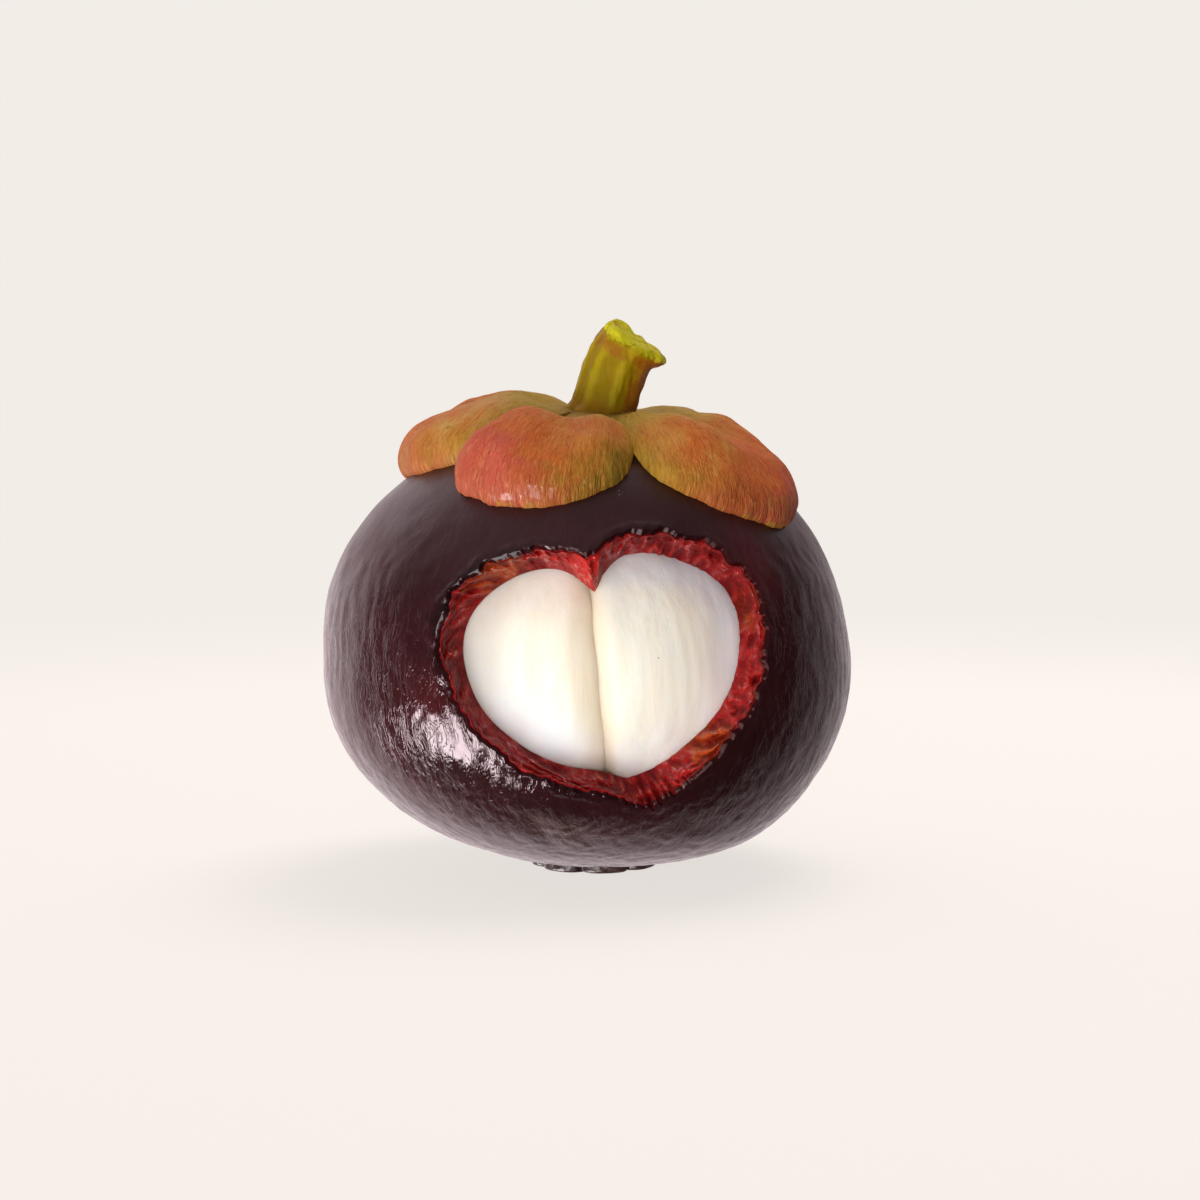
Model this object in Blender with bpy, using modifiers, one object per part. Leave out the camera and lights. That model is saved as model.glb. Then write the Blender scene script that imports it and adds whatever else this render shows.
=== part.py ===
"""A mangosteen with a heart-shaped window cut through the front of its rind.

Metres, +Z up along the fruit's axis. The origin is the middle of the stigma's flat underside, on
the surface that the fruit rests on. The window faces -Y and +X is to its right.
"""
import math

import bmesh
import bpy
from mathutils import Matrix, Vector

MM = 0.001
TOUCH_GAP = 0.3 * MM

# Body: a rounded, slightly squat fruit that leans a little out of true from side to side
BODY_CENTRE = Vector((-0.8, 0.0, 24.2)) * MM
BODY_RADIUS = 31.0 * MM
BODY_TOP = 27.9 * MM
BODY_BOTTOM = 24.0 * MM
BODY_ROUNDNESS = 2.15
UPPER_LEAN = -0.5 * MM
LOWER_LEAN = 1.6 * MM
STIGMA_HOLLOW_DEPTH = 1.1 * MM
STIGMA_HOLLOW_RADIUS = 8.6 * MM
STIGMA_HOLLOW_STEEPNESS = 6

# Flesh: the ball of segments inside, which leans a little to the left at its top
FLESH_RADIUS = 25.0 * MM
FLESH_TOP = 20.9 * MM
FLESH_BOTTOM = 17.8 * MM
FLESH_LEAN = math.radians(-5.0)
ARIL_COUNT = 7
FRONT_SEAM = math.radians(-86.0)
ARIL_MIDDLE_RADIUS = 13.5 * MM
CORE_RADIUS = 1.2 * MM
ARIL_CORNER_SHARPNESS = 7.0
# Columns and rows of the two segments behind the window, and of the others
FRONT_ARIL_GRID = (22, 16)
HIDDEN_ARIL_GRID = (16, 12)
SEARCH_STEPS = 30
# Faces that a direction runs almost along don't limit it
LEAST_HEADING = 0.01

# Window: the middle of the cut, seen from the middle of the body
WINDOW_AZIMUTH = math.radians(-85.2)
WINDOW_ELEVATION = math.radians(5.0)
CLEFT_ANGLE = 97.0
# Each pair is the angle round the window, anticlockwise from its right, and the distance from its
# middle to its edge along the skin in millimetres. Both run from the cleft to the lower tip.
RIGHT_LOBE = (
    (97, 12.9), (79, 15.9), (55, 18.5), (30, 21.0), (0, 18.9), (-30, 16.6), (-50, 16.1), (-77, 17.1),
)
LEFT_LOBE = (
    (97, 12.9), (115, 15.1), (135, 17.7), (162, 19.9), (190, 18.2), (220, 15.6), (250, 14.7), (268, 14.8),
    (283, 17.1),
)
WALL_FLARE = math.radians(2.6)
CLEFT_SLOPE = math.radians(6.3)
CLEFT_SPREAD = 12.0
LIP_WIDTH = math.radians(2.2)
LIP_HEIGHT = 0.25 * MM
LIP_DROP = 0.5 * MM
WALL_RIDGES = 40
WALL_RIDGE_HEIGHT = math.radians(0.55)
WALL_RIDGE_START = 0.15
WALL_RIDGE_SPAN = 0.7

# Calyx: four thick sepals round the stem, on an axis tipped a little to the right
CALYX_TILT = math.radians(2.6)
CALYX_SCALE = 30.0 * MM
SEPAL_INNER = 4.3 * MM
SEPAL_MIDDLE = 13.0 * MM
SEPAL_CORNER_SHARPNESS = 9.0
# name, direction of its middle, half its spread, then in millimetres: tip distance, radius of its
# lobe, how far the lobe sits to the side, puff, distance to its hump; last, how much one side is
# higher for each millimetre across
SEPALS = (
    ("sepal_front", -105.5, 31.5, 26.4, 11.4, -2.2, 4.6, 13.0, -0.03),
    ("sepal_right", -31.0, 43.0, 28.2, 13.2, 1.0, 4.2, 14.0, 0.0),
    ("sepal_back", 62.5, 50.5, 26.5, 13.4, 0.0, 3.9, 13.0, 0.0),
    ("sepal_left", 168.0, 55.0, 24.5, 13.0, 1.0, 5.4, 11.0, 0.0),
)
SEPAL_STEM_HEIGHT = 0.32
SEPAL_CREASE_DEPTH = 0.6
SEPAL_CREASE_WIDTH = 3.0 * MM
SEPAL_RIM_ROUNDNESS = 2.6

# Stem: ribbed, bent to the right, with a flared end that was cut or snapped off
STEM_FOOT = Vector((0.7, 0.0, 52.5)) * MM
STEM_BEND = Vector((1.9, 0.0, 58.6)) * MM
STEM_TOP = Vector((4.3, 0.0, 62.0)) * MM
STEM_RADIUS = 3.7 * MM
STEM_FLARE = 0.24
STEM_FLARE_START = 0.66
STEM_RIBS = 9
STEM_RIB_DEPTH = 0.05
STEM_RIB_FADING = 1.6
STEM_FLARE_STEEPNESS = 1.5
# The flared end stands out all round, more at the right, and in three lobes
STEM_END_ROUND = 0.45
STEM_END_RIGHT = 0.75
STEM_END_LOBES = 0.25
STEM_END_TURN = 0.4
STEM_CAP_FILL = 0.9
STEM_CROWN = 0.7 * MM
STEM_CROWN_ROUNDNESS = 3
STEM_CUT_SLANT = 0.6 * MM
STEM_SLANT_STEEPNESS = 4

# Stigma: the flat rosette under the fruit, with one lobe for each segment inside
STIGMA_RADIUS = 7.5 * MM
STIGMA_THICKNESS = 1.0 * MM
STIGMA_NOTCH = 0.17
STIGMA_BEVEL = 0.2 * MM
LOBE_SEGMENTS = 8

# Main colour and roughness of each material
RIND_PAINT = ((0.085, 0.022, 0.03), 0.35)
ARIL_PAINT = ((0.86, 0.82, 0.74), 0.35)
SEPAL_PAINT = ((0.52, 0.16, 0.05), 0.6)
STEM_PAINT = ((0.30, 0.25, 0.03), 0.5)
STIGMA_PAINT = ((0.045, 0.016, 0.016), 0.35)


def clear_scene():
    for old in list(bpy.data.objects):
        bpy.data.objects.remove(old, do_unlink=True)


def make_collection(name):
    collection = bpy.data.collections.new(name)
    bpy.context.scene.collection.children.link(collection)
    return collection


def make_material(name, colour, roughness):
    """A plain shader in the part's main colour."""
    material = bpy.data.materials.new(name)
    material.use_nodes = True
    shader = material.node_tree.nodes["Principled BSDF"]
    shader.inputs["Base Color"].default_value = (*colour, 1.0)
    shader.inputs["Roughness"].default_value = roughness
    shader.inputs["Metallic"].default_value = 0.0
    material.diffuse_color = (*colour, 1.0)
    return material


def add_object(name, mesh_data, material, collection):
    """Link a finished mesh as one named, smooth-shaded part."""
    mesh = bpy.data.meshes.new(name)
    mesh_data.to_mesh(mesh)
    mesh_data.free()
    mesh.materials.append(material)
    mesh.shade_smooth()
    part = bpy.data.objects.new(name, mesh)
    collection.objects.link(part)
    return part


def shaped_sphere(columns, rows, place):
    """A sphere whose vertices are moved by place(around, down), both from 0 to 1.

    around runs anticlockwise about the sphere's axis and down runs from its top pole to its lower one.
    """
    mesh_data = bmesh.new()
    bmesh.ops.create_uvsphere(mesh_data, u_segments=columns, v_segments=rows, radius=1.0)
    for vertex in mesh_data.verts:
        around = math.atan2(vertex.co.y, vertex.co.x) / math.tau % 1.0
        down = math.acos(max(-1.0, min(1.0, vertex.co.z))) / math.pi
        vertex.co = place(around, down)
    return mesh_data


def smooth_through(knots, at):
    """A smooth curve through (position, value) pairs that are in rising order of position."""
    positions = [knot[0] for knot in knots]
    values = [knot[1] for knot in knots]
    last = len(knots) - 1
    slopes = []
    for index in range(len(knots)):
        before = max(index - 1, 0)
        after = min(index + 1, last)
        slopes.append((values[after] - values[before]) / (positions[after] - positions[before]))
    index = 0
    while index < last - 1 and at > positions[index + 1]:
        index += 1
    span = positions[index + 1] - positions[index]
    part = (at - positions[index]) / span
    start = values[index] * (1 + 2 * part) * (1 - part) ** 2
    end = values[index + 1] * (3 - 2 * part) * part ** 2
    bend = slopes[index] * part * (1 - part) ** 2 - slopes[index + 1] * (1 - part) * part ** 2
    return start + end + bend * span


def soft_least(lengths, sharpness):
    """The least of some lengths, rounded off where two of them are alike."""
    return sum(length ** -sharpness for length in lengths) ** (-1.0 / sharpness)


def egg_radius(direction, radius, top, bottom):
    """Distance from the middle of a squat round form to its surface, along a unit direction."""
    across = math.hypot(direction.x, direction.y) / radius
    height = abs(direction.z) / (top if direction.z > 0 else bottom)
    return (across ** BODY_ROUNDNESS + height ** BODY_ROUNDNESS) ** (-1.0 / BODY_ROUNDNESS)


def skin_point(direction, lift=0.0):
    """The point of the skin in a direction from the middle of the body, raised by lift."""
    offset = direction * egg_radius(direction, BODY_RADIUS, BODY_TOP, BODY_BOTTOM)
    if offset.z > 0:
        offset.x += UPPER_LEAN * math.sin(math.pi * offset.z / BODY_TOP)
    else:
        offset.x += LOWER_LEAN * (-offset.z / BODY_BOTTOM) ** 3
    point = BODY_CENTRE + offset
    if direction.z < 0:
        from_axis = math.hypot(point.x, point.y) / STIGMA_HOLLOW_RADIUS
        point.z += STIGMA_HOLLOW_DEPTH * math.exp(-from_axis ** STIGMA_HOLLOW_STEEPNESS)
    return point + direction * lift


def flesh_radius(direction):
    """Distance from the middle of the body to the surface of the flesh."""
    upright = Matrix.Rotation(-FLESH_LEAN, 3, "Y") @ direction
    return egg_radius(upright, FLESH_RADIUS, FLESH_TOP, FLESH_BOTTOM)


def window_axes():
    """The window's right, up and outward directions."""
    outward = Vector((
        math.cos(WINDOW_ELEVATION) * math.cos(WINDOW_AZIMUTH),
        math.cos(WINDOW_ELEVATION) * math.sin(WINDOW_AZIMUTH),
        math.sin(WINDOW_ELEVATION),
    ))
    right = Vector((0.0, 0.0, 1.0)).cross(outward).normalized()
    return right, outward.cross(right), outward


def window_direction(turn, away):
    """The direction at an angle round the window and an angle away from its middle."""
    right, up, outward = window_axes()
    sideways = right * math.cos(turn) + up * math.sin(turn)
    return sideways * math.sin(away) + outward * math.cos(away)


def window_edge(turn_degrees):
    """Angle from the window's middle to its edge on the skin."""
    if turn_degrees > CLEFT_ANGLE:
        distance = smooth_through(LEFT_LOBE, turn_degrees)
    else:
        distance = smooth_through(tuple(reversed(RIGHT_LOBE)), turn_degrees)
    return distance * MM / BODY_RADIUS


def wall_slope(turn_degrees):
    """How much further from the middle the cut is at the flesh than at the skin."""
    near_cleft = math.exp(-((turn_degrees - CLEFT_ANGLE) / CLEFT_SPREAD) ** 2)
    return WALL_FLARE - CLEFT_SLOPE * near_cleft


def build_rind(collection):
    """The rind: skin, rolled lip, ridged cut wall and cavity, as one thick open shell."""
    columns = WALL_RIDGES * 2
    skin_rows = 20
    wall_rows = 5
    cavity_rows = 14
    rows = skin_rows + wall_rows + cavity_rows
    tip_angle = RIGHT_LOBE[-1][0]

    def place(around, down):
        row = round(down * rows)
        turn_degrees = tip_angle + 360.0 * (1.0 - around) % 360.0
        turn = math.radians(turn_degrees)
        edge = window_edge(turn_degrees)
        if row <= skin_rows:
            outer_edge = edge + LIP_WIDTH
            away = math.pi + (outer_edge - math.pi) * row / skin_rows
            return skin_point(window_direction(turn, away))
        if row == skin_rows + 1:
            return skin_point(window_direction(turn, edge + LIP_WIDTH / 3), LIP_HEIGHT)
        inner_edge = edge + wall_slope(turn_degrees)
        if row <= skin_rows + wall_rows:
            depth = (row - skin_rows - 2) / (wall_rows - 2)
            ridge = WALL_RIDGE_HEIGHT * (1 if round(around * columns) % 2 else -1)
            ridge *= math.sin(math.pi * (WALL_RIDGE_START + WALL_RIDGE_SPAN * depth))
            away = edge + (inner_edge - edge) * depth + ridge
            direction = window_direction(turn, away)
            skin = skin_point(direction, -LIP_DROP) - BODY_CENTRE
            cavity = direction * (flesh_radius(direction) + TOUCH_GAP)
            return BODY_CENTRE + skin.lerp(cavity, depth)
        part = (row - skin_rows - wall_rows) / cavity_rows
        direction = window_direction(turn, inner_edge + (math.pi - inner_edge) * part)
        return BODY_CENTRE + direction * (flesh_radius(direction) + TOUCH_GAP)

    material = make_material("rind_purple", *RIND_PAINT)
    return add_object("rind", shaped_sphere(columns, rows, place), material, collection)


def level_direction(turn):
    """The level direction at an angle about the fruit's axis."""
    return Vector((math.cos(turn), math.sin(turn), 0.0))


def build_aril(index, material, collection):
    """One wedge of white flesh, with soft corners, between its two seams and the core."""
    spread = math.pi / ARIL_COUNT
    middle = FRONT_SEAM + spread * (2 * index + 1)
    outward = level_direction(middle)
    left_face = level_direction(middle + spread + math.pi / 2)
    right_face = level_direction(middle - spread - math.pi / 2)
    rise = (FLESH_TOP - FLESH_BOTTOM) / 2
    centre = outward * ARIL_MIDDLE_RADIUS + Vector((0.0, 0.0, rise))
    to_face = ARIL_MIDDLE_RADIUS * math.sin(spread) - TOUCH_GAP / 2
    lean = Matrix.Rotation(FLESH_LEAN, 3, "Y")
    in_front = index in (0, ARIL_COUNT - 1)
    columns, rows = FRONT_ARIL_GRID if in_front else HIDDEN_ARIL_GRID

    def to_flesh_surface(direction):
        near, far = 0.0, 2 * FLESH_RADIUS
        for _ in range(SEARCH_STEPS):
            middle_length = (near + far) / 2
            point = centre + direction * middle_length
            limit = egg_radius(point.normalized(), FLESH_RADIUS, FLESH_TOP, FLESH_BOTTOM)
            if point.length < limit:
                near = middle_length
            else:
                far = middle_length
        return near

    def place(around, down):
        turn = middle + around * math.tau
        polar = down * math.pi
        direction = Vector((
            math.sin(polar) * math.cos(turn),
            math.sin(polar) * math.sin(turn),
            math.cos(polar),
        ))
        lengths = [to_flesh_surface(direction)]
        for face in (left_face, right_face):
            heading = direction.dot(face)
            if heading > LEAST_HEADING:
                lengths.append(to_face / heading)
        inward = -direction.dot(outward)
        if inward > LEAST_HEADING:
            lengths.append((ARIL_MIDDLE_RADIUS - CORE_RADIUS) / inward)
        point = centre + direction * soft_least(lengths, ARIL_CORNER_SHARPNESS)
        return BODY_CENTRE + lean @ point

    return add_object(f"aril_{index + 1}", shaped_sphere(columns, rows, place), material, collection)


def build_arils(collection):
    material = make_material("aril_white", *ARIL_PAINT)
    for index in range(ARIL_COUNT):
        build_aril(index, material, collection)


def shoulder_direction(flat):
    """The direction for a point of the calyx's flat plan, which wraps over the shoulder."""
    polar = flat.length / CALYX_SCALE
    across = flat.normalized() * math.sin(polar)
    direction = Vector((across.x, across.y, math.cos(polar)))
    return Matrix.Rotation(CALYX_TILT, 3, "Y") @ direction


def build_sepal(sepal, material, collection):
    """One thick, puffed sepal that follows the shoulder under it."""
    name, middle_degrees, spread_degrees, tip, lobe_radius, shift, puff, hump, slant = sepal
    middle = math.radians(middle_degrees)
    spread = math.radians(spread_degrees)
    outward = Vector((math.cos(middle), math.sin(middle)))
    sideways = Vector((-math.sin(middle), math.cos(middle)))
    lobe_centre = outward * (tip * MM - lobe_radius * MM) + sideways * shift * MM
    centre = outward * SEPAL_MIDDLE
    to_side = SEPAL_MIDDLE * math.sin(spread) - TOUCH_GAP / 2
    columns = 28
    rows = 12
    under_rows = 3

    def to_margin(heading):
        offset = centre - lobe_centre
        along = offset.dot(heading)
        lengths = [-along + math.sqrt(along ** 2 + (lobe_radius * MM) ** 2 - offset.length_squared)]
        for side in (1, -1):
            turn = middle + side * (spread + math.pi / 2)
            facing = heading.dot(Vector((math.cos(turn), math.sin(turn))))
            if facing > LEAST_HEADING:
                lengths.append(to_side / facing)
        inward = -heading.dot(outward)
        if inward > LEAST_HEADING:
            lengths.append((SEPAL_MIDDLE - SEPAL_INNER) / inward)
        return soft_least(lengths, SEPAL_CORNER_SHARPNESS)

    def height(flat, reach):
        distance = flat.length
        aside = flat.dot(sideways)
        rising = min(max((distance - SEPAL_INNER) / (hump * MM - SEPAL_INNER), 0.0), 1.0)
        rising = rising * rising * (3 - 2 * rising)
        base = SEPAL_STEM_HEIGHT + (1 - SEPAL_STEM_HEIGHT) * rising
        fading = max(0.0, 1 - distance / tip / MM)
        crease = SEPAL_CREASE_DEPTH * fading * math.exp(-(aside / SEPAL_CREASE_WIDTH) ** 2)
        rim = math.sqrt(1 - reach ** SEPAL_RIM_ROUNDNESS)
        return puff * MM * base * (1 - crease) * rim * (1 + slant * aside / MM)

    def place(around, down):
        row = round(down * rows)
        turn = around * math.tau
        heading = Vector((math.cos(turn), math.sin(turn)))
        top_rows = rows - under_rows
        if row <= top_rows:
            reach = math.sin(math.pi / 2 * row / top_rows)
        else:
            reach = (rows - row) / under_rows
        flat = centre + heading * to_margin(heading) * reach
        lift = height(flat, reach) if row < top_rows else 0.0
        return skin_point(shoulder_direction(flat), TOUCH_GAP + lift)

    return add_object(name, shaped_sphere(columns, rows, place), material, collection)


def build_calyx(collection):
    material = make_material("sepal_orange", *SEPAL_PAINT)
    for sepal in SEPALS:
        build_sepal(sepal, material, collection)


def build_stem(collection):
    """The bent, ribbed stalk, with its flared and uneven cut end."""
    columns = STEM_RIBS * 4
    rows = 14
    cap_rows = 3

    def place(around, down):
        row = round(down * rows)
        turn = around * math.tau
        side_rows = rows - 2 * cap_rows
        if row < cap_rows:
            along, fill = 1.0, row / cap_rows * STEM_CAP_FILL
        elif row > rows - cap_rows:
            along, fill = 0.0, (rows - row) / cap_rows * STEM_CAP_FILL
        else:
            along, fill = 1.0 - (row - cap_rows) / side_rows, 1.0
        spine = STEM_FOOT.lerp(STEM_BEND, along).lerp(STEM_BEND.lerp(STEM_TOP, along), along)
        tangent = (STEM_BEND - STEM_FOOT).lerp(STEM_TOP - STEM_BEND, along).normalized()
        back = Vector((0.0, 1.0, 0.0))
        right = back.cross(tangent)
        rib = 1 + STEM_RIB_DEPTH * math.cos(STEM_RIBS * turn) * min(1.0, STEM_RIB_FADING - along)
        flare = max(0.0, (along - STEM_FLARE_START) / (1 - STEM_FLARE_START)) ** STEM_FLARE_STEEPNESS
        lobes = STEM_END_LOBES * math.cos(3 * turn + STEM_END_TURN)
        end = STEM_END_ROUND + STEM_END_RIGHT * math.cos(turn) + lobes
        radius = STEM_RADIUS * rib * (1 + STEM_FLARE * flare * end) * fill
        point = spine + (right * math.cos(turn) + back * math.sin(turn)) * radius
        if along == 0.0:
            return skin_point((point - BODY_CENTRE).normalized(), TOUCH_GAP)
        if along == 1.0:
            point += tangent * STEM_CROWN * (1 - fill ** STEM_CROWN_ROUNDNESS)
        slant = STEM_CUT_SLANT * math.cos(turn) * fill * along ** STEM_SLANT_STEEPNESS
        return point - tangent * slant

    material = make_material("stem_green", *STEM_PAINT)
    return add_object("stem", shaped_sphere(columns, rows, place), material, collection)


def build_stigma(collection):
    """The flat lobed rosette that the fruit rests on."""
    mesh_data = bmesh.new()
    bmesh.ops.create_cone(
        mesh_data,
        cap_ends=True,
        segments=ARIL_COUNT * LOBE_SEGMENTS,
        radius1=STIGMA_RADIUS,
        radius2=STIGMA_RADIUS,
        depth=STIGMA_THICKNESS,
    )
    for vertex in mesh_data.verts:
        turn = math.atan2(vertex.co.y, vertex.co.x)
        notch = 1 - abs(math.sin(ARIL_COUNT * turn / 2))
        reach = 1 - STIGMA_NOTCH * notch ** 2
        vertex.co.x *= reach
        vertex.co.y *= reach
        vertex.co.z += STIGMA_THICKNESS / 2
    material = make_material("stigma_brown", *STIGMA_PAINT)
    stigma = add_object("stigma", mesh_data, material, collection)
    bevel = stigma.modifiers.new("soft_edge", "BEVEL")
    bevel.width = STIGMA_BEVEL
    bevel.segments = 1
    bevel.limit_method = "ANGLE"
    return stigma


def main():
    clear_scene()
    collection = make_collection("mangosteen")
    build_rind(collection)
    build_arils(collection)
    build_calyx(collection)
    build_stem(collection)
    build_stigma(collection)


main()
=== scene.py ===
"""The looks of a mangosteen with a heart-shaped window cut through the front of its rind.

Metres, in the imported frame: +Z up, the window faces -Y, and the fruit rests on the floor at z = 0.
"""
import math
from collections import namedtuple

import bpy
import numpy as np
from mathutils import Matrix, Vector, noise


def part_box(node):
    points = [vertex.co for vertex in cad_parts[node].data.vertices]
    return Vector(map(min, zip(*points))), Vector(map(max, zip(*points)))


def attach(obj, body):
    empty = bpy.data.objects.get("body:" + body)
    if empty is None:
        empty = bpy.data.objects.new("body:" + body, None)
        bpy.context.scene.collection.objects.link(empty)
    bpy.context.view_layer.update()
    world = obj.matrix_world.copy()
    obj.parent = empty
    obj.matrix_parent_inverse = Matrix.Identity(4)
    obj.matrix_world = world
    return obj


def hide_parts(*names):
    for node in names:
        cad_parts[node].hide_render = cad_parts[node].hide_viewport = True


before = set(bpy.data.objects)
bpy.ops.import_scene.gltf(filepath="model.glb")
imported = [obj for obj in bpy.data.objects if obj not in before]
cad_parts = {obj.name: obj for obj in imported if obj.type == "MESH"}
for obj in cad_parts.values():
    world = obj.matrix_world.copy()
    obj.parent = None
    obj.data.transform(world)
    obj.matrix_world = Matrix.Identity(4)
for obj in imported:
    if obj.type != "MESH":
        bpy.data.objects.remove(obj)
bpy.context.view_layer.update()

MM = 0.001
HALF_TURN = 180.0
FULL_TURN = 360.0
UP = np.array([0.0, 0.0, 1.0])
# The least length, and the least share of a heading, that is divided by
TINY = 1e-9
LEAST_HEADING = 0.001

# Body: its width and its middle come from the frame, the rest is the frame's own shape
RIND_LOW, RIND_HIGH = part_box("rind")
BODY_RADIUS = (RIND_HIGH[0] - RIND_LOW[0]) / 2
BODY_CENTRE = np.array([(RIND_HIGH[0] + RIND_LOW[0]) / 2, 0.0, 24.2 * MM])
BODY_TOP = 27.9 * MM
BODY_BOTTOM = 24.0 * MM
BODY_ROUNDNESS = 2.15
UPPER_LEAN = -0.5 * MM
LOWER_LEAN = 1.6 * MM
STIGMA_HOLLOW_DEPTH = 1.1 * MM
STIGMA_HOLLOW_RADIUS = 8.6 * MM
STIGMA_HOLLOW_STEEPNESS = 6

# Flesh
FLESH_RADIUS = 25.0 * MM
FLESH_TOP = 20.9 * MM
FLESH_BOTTOM = 17.8 * MM
FLESH_LEAN = math.radians(-5.0)
ARIL_COUNT = 7
ARIL_SPREAD = math.pi / ARIL_COUNT
FRONT_SEAM = math.radians(-86.0)
ARIL_MIDDLE_RADIUS = 13.5 * MM
CORE_RADIUS = 1.2 * MM

# Window: the angle round it, anticlockwise from its right, and its edge's distance in millimetres
WINDOW_AZIMUTH = math.radians(-85.2)
WINDOW_ELEVATION = math.radians(5.0)
CLEFT_ANGLE = 97.0
RIGHT_LOBE = (
    (-77, 17.1), (-50, 16.1), (-30, 16.6), (0, 18.9), (30, 21.0), (55, 18.5), (79, 15.9), (97, 12.9),
)
LEFT_LOBE = (
    (97, 12.9), (115, 15.1), (135, 17.7), (162, 19.9), (190, 18.2), (220, 15.6), (250, 14.7), (268, 14.8),
    (283, 17.1),
)
TIP_ANGLE = RIGHT_LOBE[0][0]
WALL_FLARE = math.radians(2.6)
CLEFT_SLOPE = math.radians(6.3)
CLEFT_SPREAD = 12.0
LIP_WIDTH = 2.4 * MM
LIP_HEIGHT = 0.25 * MM
LIP_DROP = 0.5 * MM

# Calyx: the direction of a sepal's middle and half its spread in degrees, then in millimetres: tip
# distance, radius of its lobe, how far the lobe sits to the side, puff, distance to its hump; last, slant
Sepal = namedtuple("Sepal", "name middle spread tip lobe_radius shift puff hump slant")
SEPALS = (
    Sepal("sepal_front", -105.5, 31.5, 26.4, 11.4, -2.2, 4.6, 13.0, -0.03),
    Sepal("sepal_right", -31.0, 43.0, 28.2, 13.2, 1.0, 4.2, 14.0, 0.0),
    Sepal("sepal_back", 62.5, 50.5, 26.5, 13.4, 0.0, 3.9, 13.0, 0.0),
    Sepal("sepal_left", 168.0, 55.0, 24.5, 13.0, 1.0, 5.4, 11.0, 0.0),
)
CALYX_TILT = math.radians(2.6)
CALYX_SCALE = 30.0 * MM
SEPAL_INNER = 4.3 * MM
SEPAL_MIDDLE = 13.0 * MM
SEPAL_STEM_HEIGHT = 0.32
SEPAL_CREASE_DEPTH = 0.6
SEPAL_CREASE_WIDTH = 3.0 * MM


# Helpers for numbers

def ramp_between(low, high, values):
    """A smooth step from 0 at low to 1 at high."""
    part = np.clip((values - low) / (high - low), 0.0, 1.0)
    return part * part * (3.0 - 2.0 * part)


def bell(values, middle, width):
    """1 at the middle, fading to 0 a few widths away."""
    return np.exp(-((values - middle) / width) ** 2)


def bell_round(degrees, middle, width):
    """The same for angles in degrees, round a whole turn."""
    return bell((degrees - middle + HALF_TURN) % FULL_TURN - HALF_TURN, 0.0, width)


def near_places(turn, places):
    """How near angles are to some places, each with its angle, width and strength."""
    return sum(strength * bell_round(turn, middle, width) for middle, width, strength in places)


def full_turn(columns):
    """The angles of a grid's columns, once round."""
    return 2 * np.pi * np.arange(columns) / columns


def even_steps(count, spare=0):
    """A column of even steps that ends at 1, or short of it by the spare ones."""
    return ((np.arange(count) + 1.0) / (count + spare))[:, None]


def noise_at(points, step, seed=0.0):
    """Smooth noise, mostly within -0.6 and 0.6, that changes over about one step in each direction."""
    moved = points / np.asarray(step) + seed
    flat = moved.reshape(-1, 3).tolist()
    return np.array([noise.noise(point) for point in flat]).reshape(moved.shape[:-1])


def layered_noise(points, layers, seed=0.0):
    """A sum of noise, each layer with its step, its height and what it adds to the seed."""
    return sum(noise_at(points, step, seed + change) * height for step, height, change in layers)


def unit(vectors):
    return vectors / np.linalg.norm(vectors, axis=-1, keepdims=True)


def smooth_through(knots, at):
    """A smooth curve through (position, value) pairs that are in rising order of position."""
    positions = np.array([knot[0] for knot in knots], dtype=float)
    values = np.array([knot[1] for knot in knots], dtype=float)
    slopes = np.zeros_like(values)
    slopes[0] = (values[1] - values[0]) / (positions[1] - positions[0])
    slopes[1:-1] = (values[2:] - values[:-2]) / (positions[2:] - positions[:-2])
    slopes[-1] = (values[-1] - values[-2]) / (positions[-1] - positions[-2])
    index = np.clip(np.searchsorted(positions, at) - 1, 0, len(knots) - 2)
    span = positions[index + 1] - positions[index]
    part = (at - positions[index]) / span
    start = values[index] * (1 + 2 * part) * (1 - part) ** 2
    end = values[index + 1] * (3 - 2 * part) * part ** 2
    bend = slopes[index] * part * (1 - part) ** 2 - slopes[index + 1] * (1 - part) * part ** 2
    return start + end + bend * span


def soft_least(lengths, sharpness):
    """The least of some lengths, rounded off where two of them are alike."""
    return sum(length ** -sharpness for length in lengths) ** (-1.0 / sharpness)


def turned(vectors, angle):
    """Vectors turned by an angle about the Y axis."""
    return vectors @ np.array(Matrix.Rotation(angle, 3, "Y")).T


def plan_direction(angle):
    return np.array([math.cos(angle), math.sin(angle)])


def level_direction(angle):
    return np.append(plan_direction(angle), 0.0)


def on_plan(flat):
    """Points of a plan as points in space, at z = 0."""
    return np.concatenate([flat, np.zeros((*flat.shape[:-1], 1))], axis=-1)


# The frame's own surfaces

def egg_radius(directions, radius, top, bottom):
    across = np.hypot(directions[..., 0], directions[..., 1]) / radius
    height = np.abs(directions[..., 2]) / np.where(directions[..., 2] > 0, top, bottom)
    return (across ** BODY_ROUNDNESS + height ** BODY_ROUNDNESS) ** (-1.0 / BODY_ROUNDNESS)


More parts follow.
